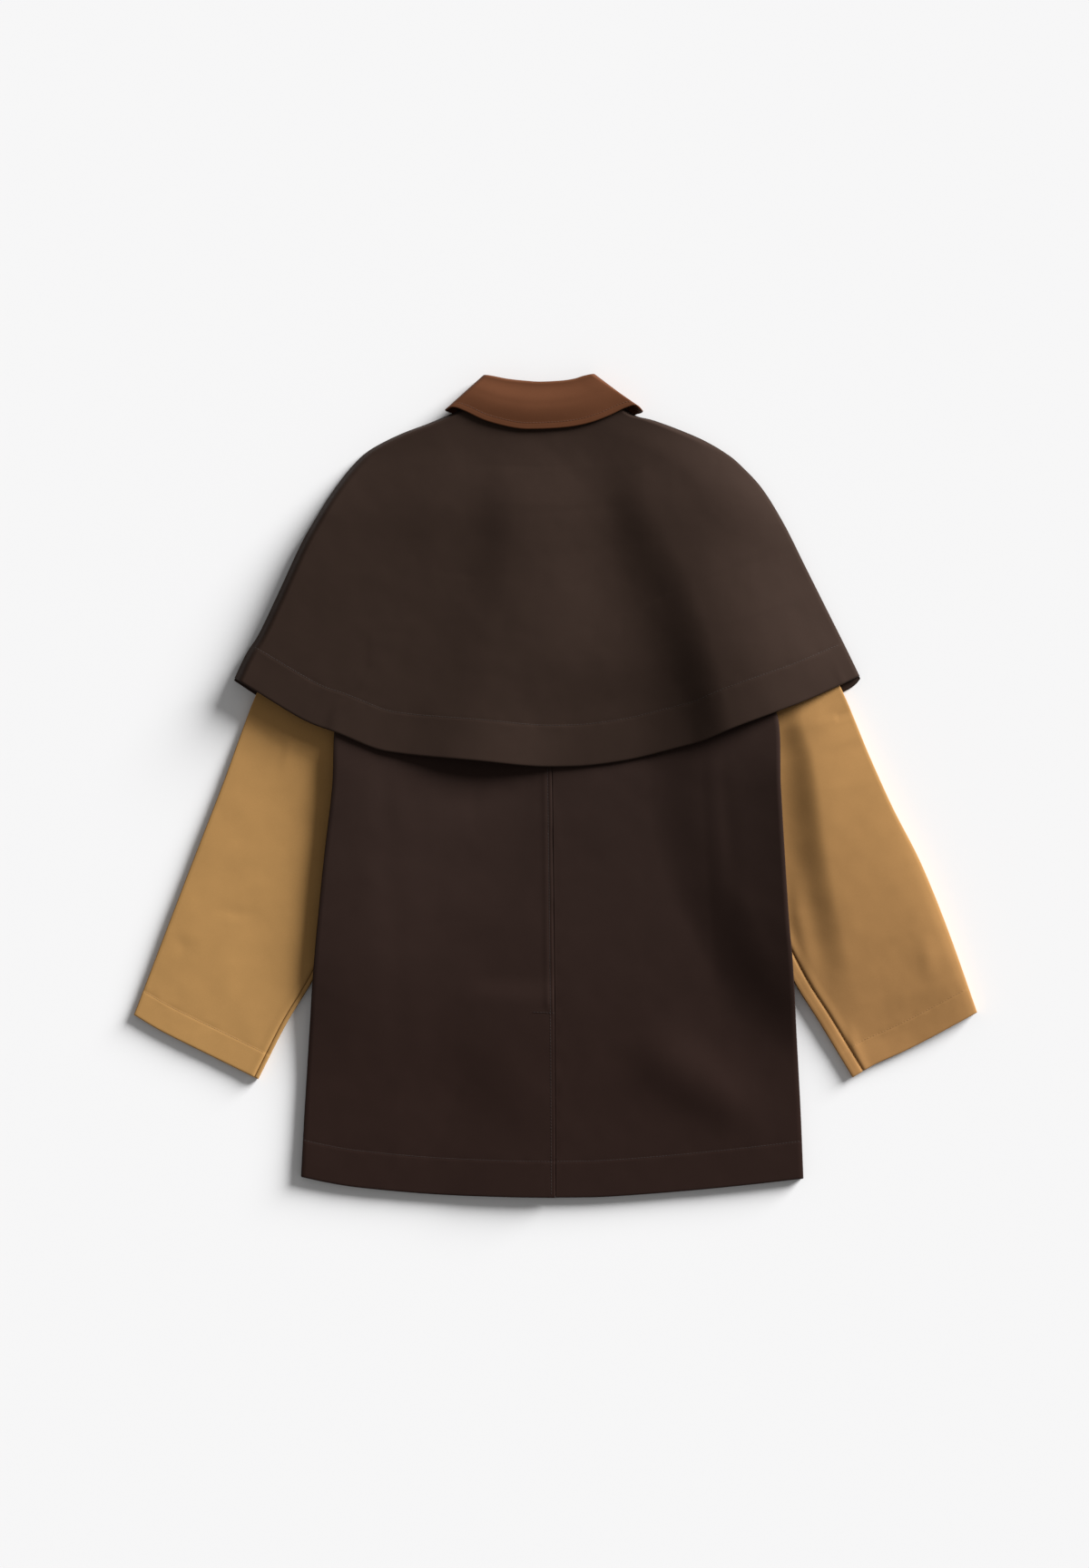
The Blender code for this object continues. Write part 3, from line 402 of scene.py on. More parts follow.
def side_rise(x, y):
    """How high the back's sides stand: they lie on the sleeves, and the right one is bunched."""
    on_sleeve = on_sleeves(x, y, LEFT_BRIDGE, RIGHT_BRIDGE) * ramp(y, *SIDE_FOOT)
    inwards = np.clip((x - BODY_RIGHT.x_at(y)) / BUNCHED_WIDTH + 1, 0, 1)
    lift = RIGHT_LIFT * (inwards + inwards**2) / 2 + LEFT_LIFT * ramp(x, *LEFT_LIFT_SIDE)
    return OVER_SLEEVE * on_sleeve + lift * ramp(y, *LIFT_FOOT) * ramp(y, *LIFT_TOP)


def back_over(x, y):
    """The backs' top. It bridges the small steps of the layers beneath."""
    from_neck = np.hypot((x - NECK_MIDDLE[0]) / NECK_REACH[0], (y - NECK_MIDDLE[1]) / NECK_REACH[1])
    lifted = OVER_CAPE_FRONT * on_cape_front(x, y, BRIDGE) + OVER_COLLAR * on_collar(x, y, BRIDGE)
    level = lifted + side_rise(x, y) + BODY_THICK - NECK_HOLLOW * smooth(1 - from_neck)
    return level + fold_height(BODY_FOLDS, x, y)


def lapped_back_over(x, y):
    """The left back, which lies on the vent's underlap."""
    lap = smooth((x + UNDERLAP + CLEAR + BRIDGE) / BRIDGE) * smooth((VENT_TOP + CLEAR + DRAPE - y) / DRAPE)
    return back_over(x, y) + OVER_FRONT * lap


def cape_support(x, y):
    """Top of the body, which the cape lies on, and a little beyond its sides."""
    right_of = smooth((x - BODY_LEFT.x_at(y)) / CAPE_DRAPE + 1)
    beside = right_of * smooth((BODY_RIGHT.x_at(y) - x) / CAPE_DRAPE + 1)
    lifted = np.maximum(side_rise(x - CAPE_CLEAR, y), side_rise(x + CAPE_CLEAR, y)) * beside
    return BODY_THICK + OVER_CAPE_FRONT + OVER_COLLAR * on_collar(x, y, BRIDGE) + lifted


def over_right_sleeve(x, y):
    """The least height of the cape over the right sleeve's outer edge."""
    beside = smooth((OUTER_RIGHT.x_at(y) + OUTER_CLEAR + OUTER_DRAPE - x) / OUTER_DRAPE)
    return (sleeve_over(x, y) + REST + SOLID) * (beside * ramp(y, *OUTER_TOP))


def cape_rise(x, y, edge):
    """Share of its full height that the cape has near its edge. Its right side comes down slowly."""
    slow = ramp(x, *CAPE_SLOW_SIDE) * ramp(y, *CAPE_SLOW_TOP)
    width = SHOULDER_RIM + (RIGHT_RIM - SHOULDER_RIM) * ramp(y, *CAPE_SLOW_WIDER)
    return (1 - slow) * smooth(edge / RIM) + slow * (1 - (1 - np.clip(edge / width, 0, 1)) ** 2)


def cape_over(x, y, edge):
    """The cape's top, from the distance to its shoulder and side edge."""
    low = OVER_COLLAR * on_collar(x, y, BRIDGE)
    shoulders = ramp(y, *CAPE_SHOULDERS)
    bridged = CAPE_BRIDGE[0] + (CAPE_BRIDGE[1] - CAPE_BRIDGE[0]) * ramp(y, *CAPE_BRIDGE_RISE)
    left = OVER_LEFT_SLEEVE * smooth((bridged - x) / (bridged - CAPE_BRIDGE_LEFT)) * shoulders
    loft = CAPE_LOFT * ramp(x, *CAPE_LOFT_SIDE) * ramp(y, *CAPE_LOFT_FOOT) * shoulders
    dome = low + BODY_THICK + OVER_CAPE_FRONT + REST + left + loft + fold_height(CAPE_FOLDS, x, y)
    height = soft_max(dome, cape_support(x, y) + REST, CAPE_BLEND) + SOLID
    sloped = low + CAPE_EDGE_THICK + (height - low - CAPE_EDGE_THICK) * cape_rise(x, y, edge)
    return soft_max(sloped, over_right_sleeve(x, y), OUTER_BLEND)


# Fine relief, in millimetres over the layers' own heights.


def hem_relief(s, depth):
    """A turned hem, by the distance from its folded edge: second ply, stitches' dimple and small puckers."""
    ply = HEM_PLY * (1 - smooth((s.bottom - depth + 1.5) / 3.5))
    dimple = HEM_DIMPLE * bell(s.bottom - depth, 1.3)
    pucker = HEM_PUCKER * ripple(s.x, s.y, 7.0, SEEDS["hem"]) * bell(s.bottom - depth, 6.0)
    to_flat = 1 - np.clip(s.bottom / EDGE_ROLL, 0, 1)
    roll = -EDGE_ROLL * (1 - np.sqrt(np.clip(1 - to_flat**2, 0, 1)))
    return ply + dimple + pucker + roll


def seam_relief(s, away, allowance):
    """A pressed seam: its groove, and a low ridge with a stitch dimple where the allowance lies."""
    groove = SEAM_GROOVE * bell(away, 0.7)
    ridge = SEAM_RIDGE * (1 - smooth((away - allowance) / 2.0))
    dimple = SEAM_DIMPLE * bell(away - TOPSTITCH, 1.0) * (allowance > TOPSTITCH)
    pucker = SEAM_PUCKER * ripple(s.x, s.y, 8.0, SEEDS["seam"]) * bell(away - TOPSTITCH, 7.0)
    return groove + ridge + dimple + pucker


def handled(s, node):
    """The faint unevenness of cloth that has been worn and laid out."""
    return sum(height * ripple(s.x, s.y, size, SEEDS[node] + i) for i, (height, size) in enumerate(WORN))


class Patch:
    """A piece's plan between four lines. Top and bottom run left to right, left and right top to bottom."""

    def __init__(self, top, bottom, left, right):
        self.top, self.bottom, self.left, self.right = top, bottom, left, right

    def widths(self, v):
        return np.hypot(*np.moveaxis(self.right.at(v) - self.left.at(v), -1, 0))

    def lengths(self, u):
        return np.hypot(*np.moveaxis(self.bottom.at(u) - self.top.at(u), -1, 0))

    def plan(self, u, v):
        """Coons patch."""
        across, down = u[..., None], v[..., None]
        rails = (1 - down) * self.top.at(u) + down * self.bottom.at(u)
        rails = rails + (1 - across) * self.left.at(v) + across * self.right.at(v)
        upper = (1 - across) * self.top.at(0) + across * self.top.at(1)
        lower = (1 - across) * self.bottom.at(0) + across * self.bottom.at(1)
        return rails - (1 - down) * upper - down * lower

    def spots(self, u, v, level):
        """Places on the patch: x, y, the level round a fold, and the distances from the four edges."""
        x, y = np.moveaxis(self.plan(u, v), -1, 0)
        wide, long = self.widths(v), self.lengths(u)
        return SimpleNamespace(
            x=x, y=y, level=level, left=u * wide, right=(1 - u) * wide, top=v * long, bottom=(1 - v) * long
        )


def shares(near, far, cells, lengths):
    """Shares along lines of these lengths: at the near and far insets, and evenly spaced between them."""
    lengths = np.asarray(lengths)[..., None]
    start, end = np.array(near) / lengths, 1 - np.array(far[::-1]) / lengths
    t = np.linspace(0, 1, cells + 1)[1:-1]
    return np.concatenate([start, start[..., -1:] * (1 - t) + end[..., :1] * t, end], axis=-1)


def round_edge(radius, sign, steps=6):
    """Columns round a folded edge: inset, and level, which is 0 at mid height and 1 or -1 on the flat."""
    angles = [90 * i / steps for i in range(steps + 1)]
    return [(radius * (1 - cos(radians(a))), sign * sin(radians(a))) for a in angles]


def plain_edge(sign, *insets):
    return [(inset, sign) for inset in insets]


def wrapped_edge(radius, width):
    """The under sleeve's columns from the seam on top, round the fold, to the underside."""
    over = [(width, 1.0)]
    if width > 2 * radius:
        over = [(width - i * (width - radius) / 4, 1.0) for i in range(4)]
    return over + round_edge(radius, 1)[:0:-1] + round_edge(radius, -1)


def hem_rows(depth):
    """Rows near a hem: round its folded edge, and close together at its stitching."""
    stitched = [depth + away for away in (-5, -3, -2, -1, 0, 1.2, 3)]
    return [0, 0.1, 0.4, 0.9, 1.6, *np.linspace(3, depth - 8, 7), *stitched]


def shell(node, patch, near, far, rows, height, cloth, offset, fold=None, open_side=None):
    """A shell of cloth on a patch, in place of the solid called node.

    near and far hold its edge columns, rows the insets of its top and bottom rows. The edge at open_side
    lies open above the first y of fold, and is folded below the second.
    """
    across, down = CELLS[node]
    top, bottom = rows
    nominal = shares(top, bottom, down, patch.lengths(np.array(0.5)))
    width = patch.widths(nominal)

    def columns(side, line, edge):
        """An edge's columns: the inset and the level in each row."""
        folded = ramp(line.at(nominal)[:, 1], *fold) if side == open_side else np.ones(len(nominal))
        flat = edge[-1][1]
        found = []
        for i, (inset, level) in enumerate(edge):
            spread = min(inset, i * OPEN_COLUMN) if level == flat else i * OPEN_COLUMN
            found.append((folded * inset + (1 - folded) * spread, folded * level + (1 - folded) * flat))
        return found

    near_columns, far_columns = columns("left", patch.left, near), columns("right", patch.right, far)
    start = np.stack([inset / width for inset, _ in near_columns], axis=1)
    end = np.stack([1 - inset / width for inset, _ in far_columns[::-1]], axis=1)
    t = np.linspace(0, 1, across + 1)[1:-1]
    u = np.concatenate([start, start[:, -1:] * (1 - t) + end[:, :1] * t, end], axis=1)
    level = np.full(u.shape, float(near[-1][1]))
    for i, (_, value) in enumerate(near_columns):
        level[:, i] = value
    for i, (_, value) in enumerate(far_columns):
        level[:, -1 - i] = value
    v = np.stack([shares(top, bottom, down, length) for length in patch.lengths(u.mean(axis=0))], axis=1)
    spots = patch.spots(u, v, level)
    piece = grid_piece(node + "_cloth", np.stack([spots.x, spots.y, height(spots)], axis=-1))
    dress(piece, node, cloth, offset, PLY)
    return piece


def grid_piece(name, points):
    """An object whose grid of faces runs through points[row, column], in millimetres."""
    rows, columns = points.shape[:2]
    mesh = bmesh.new()
    bmesh.ops.create_grid(mesh, x_segments=columns - 1, y_segments=rows - 1, size=0.5)
    data = bpy.data.meshes.new(name)
    mesh.to_mesh(data)
    mesh.free()
    flat = np.empty(len(data.vertices) * 3, np.float32)
    data.vertices.foreach_get("co", flat)
    x, y = flat.reshape(-1, 3)[:, 0], flat.reshape(-1, 3)[:, 1]
    column = np.round((x + 0.5) * (columns - 1)).astype(int)
    row = np.round((0.5 - y) * (rows - 1)).astype(int)
    data.vertices.foreach_set("co", (points[row, column] * MM).astype(np.float32).ravel())
    data.update()
    data.shade_smooth()
    piece = bpy.data.objects.new(name, data)
    bpy.context.scene.collection.objects.link(piece)
    return piece


def dress(piece, node, cloth, offset, wall):
    """Gives the surface its wall: below it at offset -1, above it at 1, both sides at 0."""
    solidify = piece.modifiers.new("wall", "SOLIDIFY")
    solidify.thickness = wall * MM
    solidify.offset = offset
    piece.data.materials.append(CLOTHS[cloth])
    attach(piece, "root")
    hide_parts(node)


def stitches(name, cloth, rows):
    """Stitches along rows of points on the cloth, in millimetres, as one joined mesh."""
    sides, last = STITCH_SIDES, len(STITCH_RINGS) - 1
    angles = np.arange(sides) * 2 * np.pi / sides
    template = [(a * STITCH_LENGTH, r * np.cos(t), r * np.sin(t)) for a, r in STITCH_RINGS for t in angles]
    template = np.array(template)
    template[:, 1:] *= STITCH_RADIUS
    faces = [
        (k * sides + i, k * sides + (i + 1) % sides, (k + 1) * sides + (i + 1) % sides, (k + 1) * sides + i)
        for k in range(last) for i in range(sides)
    ]
    faces += [tuple(range(sides))[::-1], tuple(range(last * sides, (last + 1) * sides))]
    points, polygons = [], []
    for row in rows:
        length = np.concatenate([[0], np.cumsum(np.linalg.norm(np.diff(row, axis=0), axis=1))])
        places = np.arange(STITCH_PITCH / 2, length[-1] - STITCH_PITCH / 2, STITCH_PITCH)
        before, after = (
            np.stack([np.interp(places + away, length, axis) for axis in row.T], axis=1)
            for away in (-STITCH_REACH, STITCH_REACH)
        )
        along = after - before
        along /= np.linalg.norm(along, axis=1, keepdims=True)
        aside = np.cross([0, 0, 1.0], along)
        aside /= np.linalg.norm(aside, axis=1, keepdims=True)
        up = np.cross(along, aside)
        for m, a, b, c in zip((before + after) / 2, along, aside, up):
            base = len(points) * len(template)
            points.append(m + template[:, :1] * a + template[:, 1:2] * b + template[:, 2:] * c)
            polygons += [tuple(base + k for k in face) for face in faces]
    data = bpy.data.meshes.new(name)
    data.from_pydata((np.concatenate(points) * MM).tolist(), [], polygons)
    data.shade_smooth()
    piece = bpy.data.objects.new(name, data)
    bpy.context.scene.collection.objects.link(piece)
    data.materials.append(CLOTHS[cloth + "_thread"])
    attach(piece, "root")
    return piece


def stitch_row(patch, u, v, height):
    """A row of points on a patch's surface, for stitches."""
    spots = patch.spots(u, v, np.ones(u.shape))
    return np.stack([spots.x, spots.y, height(spots) + STITCH_LIFT], axis=-1)


def hem_stitches(patch, height, depth, first=0.004, last=0.996):
    """A row along a patch's bottom edge, at a hem's depth."""
    u = np.linspace(first, last, 400)
    return stitch_row(patch, u, 1 - depth / patch.lengths(u), height)


def top_height(under, over, relief):
    """Height of a flattened tube's upper piece: mid height at level 0, the tube's top at 1."""

    def height(s):
        low, high = under(s.x, s.y), over(s.x, s.y) + relief(s)
        middle = (low + high) / 2 + FOLD_GAP
        return middle + s.level * (high - middle)

    return height


def under_height(under, over, relief):
    """Height of a tube's lower piece: its underside at level -1, and its wrap up to the top at level 1."""

    def height(s):
        low, high = under(s.x, s.y), over(s.x, s.y)
        middle = (low + high) / 2 - FOLD_GAP
        return middle + s.level * np.where(s.level > 0, high + relief(s) - middle, middle - low)

    return height


def no_relief(s):
    return 0.0


def build_body():
    lateral_left, lateral_right = Line(*ARMHOLE_LEFT, *SIDE_LEFT), Line(*ARMHOLE_RIGHT[::-1], *SIDE_RIGHT)
    centre = Line(*CENTRE_BACK)
    shoulder_left = (SHOULDER_LEFT, (-165, 362), (-120, 396), NECK_LEFT)
    shoulder_right = (NECK_RIGHT, (86, 396), (140, 364), SHOULDER_RIGHT)
    neck = moved(Line(*BACK_NECK).at(NECK_SHARES), dy=-NECK_SEAM)
    back_left = Patch(Line(*shoulder_left, *neck[:4]), Line(*HEM_LEFT), lateral_left, centre)
    back_right = Patch(Line(*neck[3:], *shoulder_right), Line(*HEM_RIGHT), centre, lateral_right)

    def left_relief(s):
        allowance = SEAM_ALLOWANCE * smooth((s.y - VENT_TOP) / 4)
        seam = seam_relief(s, s.right, allowance)
        return hem_relief(s, BODY_HEM) + seam + handled(s, "back_left")

    def right_relief(s):
        seam = seam_relief(s, s.left, 0.0)
        return hem_relief(s, BODY_HEM) + seam + handled(s, "back_right")

    seam_columns = plain_edge(1.0, SEAM_GAP, 0.7, 1.4, 2.4, 3.4, 4.0, 4.5, 5.0, 5.8, 7, 8.5, 10, 12, 15)
    side_columns = round_edge(EDGE_ROUND, 1) + plain_edge(1.0, 6, 9)
    rows = [0, 3], hem_rows(BODY_HEM)
    height_left = top_height(front_under, lapped_back_over, left_relief)
    height_right = top_height(front_under, back_over, right_relief)
    made = [
        shell("back_left", back_left, side_columns, seam_columns, rows, height_left, "body_cloth", -1,
              SIDES_FOLDED, "left"),
        shell("back_right", back_right, seam_columns, side_columns, rows, height_right, "body_cloth", -1,
              SIDES_FOLDED, "right"),
    ]

    down = np.linspace(0.42, 0.998, 500)
    beside = 1 - TOPSTITCH / back_left.widths(down)
    bar = Line((-25, VENT_TOP + 0.5), (1, VENT_TOP - 0.5)).at(np.linspace(0, 1, 30))
    sewn = stitches("body_stitches", "body_cloth", [
        hem_stitches(back_left, height_left, BODY_HEM),
        hem_stitches(back_right, height_right, BODY_HEM),
        stitch_row(back_left, beside, down, height_left),
        np.column_stack([bar, lapped_back_over(bar[:, 0], bar[:, 1]) + BAR_LIFT]),
    ])

    top_left = Line(*shoulder_left, *INNER_NECK_LEFT, LEFT_EDGE.at(0))
    top_right = Line(RIGHT_EDGE.at(0), *INNER_NECK_RIGHT, *shoulder_right)
    hem_left, hem_right = Line(*HEM_LEFT[:-1], LEFT_EDGE.at(1)), Line(RIGHT_EDGE.at(1), *HEM_RIGHT[1:])
    front_left = Patch(top_left, hem_left, lateral_left, LEFT_EDGE)
    front_right = Patch(top_right, hem_right, RIGHT_EDGE, lateral_right)
    folded, edge = round_edge(EDGE_ROUND, -1), plain_edge(-1.0, SEAM_GAP, 3, 6)
    rows = [0, 3], [0, 3, BODY_HEM]
    for side, patch, near, far, under in (
        ("left", front_left, folded, edge, lapped_front_under),
        ("right", front_right, edge, folded, front_under),
    ):
        height = under_height(under, back_over, no_relief)
        node = f"front_{side}"
        made.append(shell(node, patch, near, far, rows, height, "body_cloth", 1, SIDES_FOLDED, side))

    lateral, edge = Line((-1 - UNDERLAP, VENT_TOP), (-UNDERLAP, -451)), Line((-1, VENT_TOP), (0, -452))
    underlap = Patch(Line(lateral.at(0), edge.at(0)), Line(lateral.at(1), edge.at(1)), lateral, edge)
    columns = plain_edge(1.0, 0.0, 1.0)

    def underlap_height(s):
        return back_over(s.x, s.y) + hem_relief(s, BODY_HEM)

    rows = [0, 2], hem_rows(BODY_HEM)
    made.append(shell("vent_underlap", underlap, columns, columns, rows, underlap_height, "body_cloth", -1))
    return made, sewn


def build_sleeve(side, armhole, outer, inner, cuff, wrap):
    """Upper and under sleeve. The under sleeve wraps round the inner edge, up to the seam on top."""
    is_left = side == "left"
    # Each sleeve has its own copy of the tan; the right one is darker, which is painted shade.
    cloth, inner_side = f"tan_{side}_cloth", "right" if is_left else "left"
    joined = moved(armhole, dx=-SEAM_GAP if is_left else SEAM_GAP)
    down = joined if is_left else joined[::-1]
    outer_line, inner_line = Line(*outer), Line(*down, *inner[1:])
    if is_left:
        patch = Patch(Line(outer[0], down[0]), Line(*cuff), outer_line, inner_line)
    else:
        patch = Patch(Line(down[0], outer[0]), Line(*cuff), inner_line, outer_line)

    def relief(s):
        to_seam = (s.right if is_left else s.left) - wrap
        seam = SLEEVE_GROOVE * bell(to_seam, 0.8) + SLEEVE_RIDGE * (1 - smooth(np.abs(to_seam - 4) / 5))
        return hem_relief(s, CUFF_HEM) + seam + handled(s, f"sleeve_{side}")

    beside_seam = plain_edge(1.0, *(wrap + inset for inset in (SEAM_GAP, 0.8, 1.6, 3, 5, 8, 12)))
    made = []
    for half, sign, to_height, seam in (
        ("back", 1, top_height, beside_seam), ("front", -1, under_height, wrapped_edge(EDGE_ROUND, wrap)),
    ):
        height = to_height(sleeve_under, sleeve_over, relief)
        folded = round_edge(EDGE_ROUND, sign)
        near, far = (folded, seam) if is_left else (seam, folded)
        rows = [0, 3], hem_rows(CUFF_HEM)
        node = f"sleeve_{side}_{half}"
        made.append(shell(node, patch, near, far, rows, height, cloth, -sign, SLEEVES_FOLDED, inner_side))
        if half == "back":
            first, last = 0.02, 1 - (wrap + 1) / patch.bottom.length
            if not is_left:
                first, last = 1 - last, 1 - first
            row = hem_stitches(patch, height, CUFF_HEM, first, last)
            sewn = stitches(f"cuff_{side}_stitches", cloth, [row])
    return made, sewn


def build_cape():
    left, right = Line(*CAPE_LEFT), Line(*CAPE_RIGHT)

    def over(s):
        middle = cape_front_under(s.x, s.y) + EDGE_ROUND + FOLD_GAP
        edge = np.minimum(s.left, s.right)
        relief = hem_relief(s, CAPE_HEM_DEPTH) + handled(s, "cape")
        return middle + s.level * (cape_over(s.x, s.y, edge) + relief - middle)

    def under(s):
        return cape_front_under(s.x, s.y) + (1 + s.level) * (EDGE_ROUND - FOLD_GAP)

    patch = Patch(Line(*CAPE_NECK), Line(*CAPE_HEM), left, right)
    edges = round_edge(EDGE_ROUND, 1) + plain_edge(1.0, 5, 8, 12)
    rows = [0, 3], hem_rows(CAPE_HEM_DEPTH)
    made = [shell("cape_back", patch, edges, edges, rows, over, "dark_cloth", -1)]
    sewn = stitches("cape_stitches", "dark_cloth", [hem_stitches(patch, over, CAPE_HEM_DEPTH, 0.006, 0.994)])

    opening_left, opening_right = ((-22, 350), (-12, 200), (-8, 16)), ((-12, 350), (-6, 200), (-2, 16))
    top = Line(CAPE_LEFT[0], (-92, 416), *INNER_NECK_LEFT[:-1], opening_left[0])
    outer = Line(*CAPE_LEFT[:-1], CAPE_FRONT_HEM_LEFT[0])
    front_left = Patch(top, Line(*CAPE_FRONT_HEM_LEFT), outer, Line(*opening_left))
    top = Line(opening_right[0], *INNER_NECK_RIGHT[1:], (58, 416), CAPE_RIGHT[0])
    outer = Line(*CAPE_RIGHT[:-1], CAPE_FRONT_HEM_RIGHT[-1])
    front_right = Patch(top, Line(*CAPE_FRONT_HEM_RIGHT), Line(*opening_right), outer)
    folded, edge = round_edge(EDGE_ROUND, -1), plain_edge(-1.0, 0.0, 2.0)
    for node, patch, near, far in (
        ("cape_front_left", front_left, folded, edge), ("cape_front_right", front_right, edge, folded),
    ):
        made.append(shell(node, patch, near, far, ([0, 3], [0, 2]), under, "dark_cloth", 1))
    return made, sewn


def build_collar():
    """One band: the stand from the neck seam, the roll, and the fall. It folds round at both ends."""
    half = COLLAR_WALL / 2
    front_left = (Line(*ROLL_FRONT_LEFT), Line(*EDGE_FRONT_LEFT), Line(*FRONT_NECK_LEFT[::-1]), (0, 1))
    back = (Line(*COLLAR_ROLL), Line(*COLLAR_EDGE), Line(*BACK_NECK), (1, 1))
    front_right = (Line(*ROLL_FRONT_RIGHT), Line(*EDGE_FRONT_RIGHT), Line(*FRONT_NECK_RIGHT[::-1]), (1, 0))
    branches = {-1: front_left, 0: back, 1: front_right}
    low_roll = half + ROLL_RADIUS
    high_roll = half + 3 * ROLL_RADIUS + COLLAR_WALL + ROLL_OVER

    # Rows: which side of the roll (-1 stand, 1 fall), the share of the way down it, and the roll's angle.
    rows = [(-1, 1 - i / STAND_ROWS, -90) for i in range(STAND_ROWS)]
    rows += [(-1, 0.0, a) for a in range(-90, 0, 15)] + [(1, 0.0, a) for a in range(0, 91, 15)]
    rows += [(1, i / FALL_ROWS, 90) for i in range(1, FALL_ROWS + 1)]
    # Columns: the branch, the share of the way along it, and the angle where the band folds round.
    fold = [7.5 * i for i in range(13)]
    columns = [(-1, i / FRONT_COLUMNS, None) for i in range(FRONT_COLUMNS)]
    columns += [(-1, 1.0, -a) for a in fold[::-1]] + [(0, 0.0, a) for a in fold[1:]]
    columns += [(0, i / BACK_COLUMNS, None) for i in range(1, BACK_COLUMNS)]
    columns += [(0, 1.0, a) for a in fold[::-1]] + [(1, 0.0, -a) for a in fold[1:]]
    columns += [(1, i / FRONT_COLUMNS, None) for i in range(1, FRONT_COLUMNS + 1)]

    def column_points(branch, share, angle):
        roll_line, edge_line, seam_line, folded_ends = branches[branch]
        points = []
        for part, way, turn in rows:
            line = edge_line if part > 0 else seam_line
            mean = 0.5 * (roll_line.length + line.length)
            if angle is None:
                step = COLLAR_FOLD / mean
                place = step * folded_ends[0] + share * (1 - step * sum(folded_ends))
            else:
                step = COLLAR_FOLD * (1 - cos(radians(angle))) / mean
                place = step if share < 0.5 else 1 - step
            start, end = roll_line.at(place), line.at(place)
            depth = float(np.hypot(*(end - start)))
            turned = ROLL_RADIUS * (1 - cos(radians(turn))) + half
            x, y = start + (turned + way * (depth - turned)) / depth * (end - start)
            rise = ROLL_RADIUS * sin(radians(turn))
            low, high = low_roll - rise, high_roll + rise
            if part > 0:
                resting = float(cape_over(x, min(y, COLLAR_TOP), COLLAR_INWARDS)) + REST + half
                high += (resting - high) * float(smooth(way * 1.2))
                domed = float(smooth(way * 2.5)) * (1 - float(smooth(way * 2 - 1)))
                high += COLLAR_DOME * (1 - ((x - COLLAR_MIDDLE) / COLLAR_HALF) ** 2) * domed
                away = (1 - way) * depth
                high += COLLAR_RIDGE * float(1 - smooth((away - COLLAR_TOPSTITCH) / 1.5))
                high += COLLAR_DIMPLE * float(bell(away - COLLAR_TOPSTITCH, 1.0))
            else:
                high += (float(back_over(x, y)) - SOLID / 2 - high) * way
                low += (float(front_under(x, y)) + SOLID / 2 - low) * way
            level = (-1.0 if branch else 1.0) if angle is None else sin(radians(angle))
            points.append((x, y, (low + high) / 2 + level * (high - low) / 2))
        return points

    points = np.array([column_points(*column) for column in columns])
    piece = grid_piece("collar_cloth", np.moveaxis(points, 0, 1))
    dress(piece, "collar", "rust_cloth", 0, COLLAR_PLY)

    fall_columns = [i for i, column in enumerate(columns) if column[0] == 0]
    fall_rows = [i for i, row in enumerate(rows) if row[0] > 0 and row[2] == 90]
    fall = points[fall_columns][:, fall_rows]
    row = []
    for line in fall:
        away = np.linalg.norm(line - line[-1], axis=1)
        row.append([np.interp(COLLAR_TOPSTITCH, away[::-1], axis[::-1]) for axis in line.T])
    row = np.array(row) + (0, 0, COLLAR_PLY / 2 + STITCH_LIFT)
    return [piece], stitches("collar_stitches", "rust_cloth", [row])


# Colours of each cloth, linear: at the top of the piece, and at its hem.
COLOURS = {
    "dark_cloth": ((0.0262, 0.0164, 0.0126), (0.0262, 0.0164, 0.0126)),
    # The body's cloth is a little darker than the cape's, and turns darker and redder towards its hem.
    "body_cloth": ((0.0235, 0.0143, 0.0117), (0.0192, 0.0106, 0.0086)),
    "tan_left_cloth": ((0.372, 0.206, 0.074), (0.388, 0.216, 0.078)),
    # The right sleeve's tan is darker than the left's, which is the same cloth: painted shade for the right
    # sleeve's slope away from the light.
    "tan_right_cloth": ((0.350, 0.190, 0.0705), (0.352, 0.186, 0.0715)),
    "rust_cloth": ((0.103, 0.0398, 0.0192), (0.103, 0.0398, 0.0192)),
}
FADE_TOP, FADE_LOW = -20.0, -300.0  # y between which a cloth's tone changes
TWILL_SCALE = 420.0  # bands of 0.75 mm
TWILL_ANGLE = 63.0
THREAD_SHADES = (0.81, 1.035)  # the thread's darkest and lightest share of its cloth's colour


def put(node, values):
    for socket, value in values.items():
        node.inputs[socket].default_value = value


def new_material(name, roughness):
    """A material, its nodes and links, and its shader."""
    material = bpy.data.materials.new(name)
    material.use_nodes = True
    tree = material.node_tree
    shader = tree.nodes["Principled BSDF"]
    put(shader, {"Roughness": roughness})
    return material, tree.nodes, tree.links, shader


def shade(nodes, links, colour, shares_of_it, fac):
    """A colour between two shares of the given one."""
    node = nodes.new("ShaderNodeMix")
    node.data_type = "RGBA"
    put(node, {socket: (*[c * share for c in colour], 1.0) for socket, share in zip("AB", shares_of_it)})
    links.new(fac, node.inputs["Factor"])
    return node.outputs["Result"]


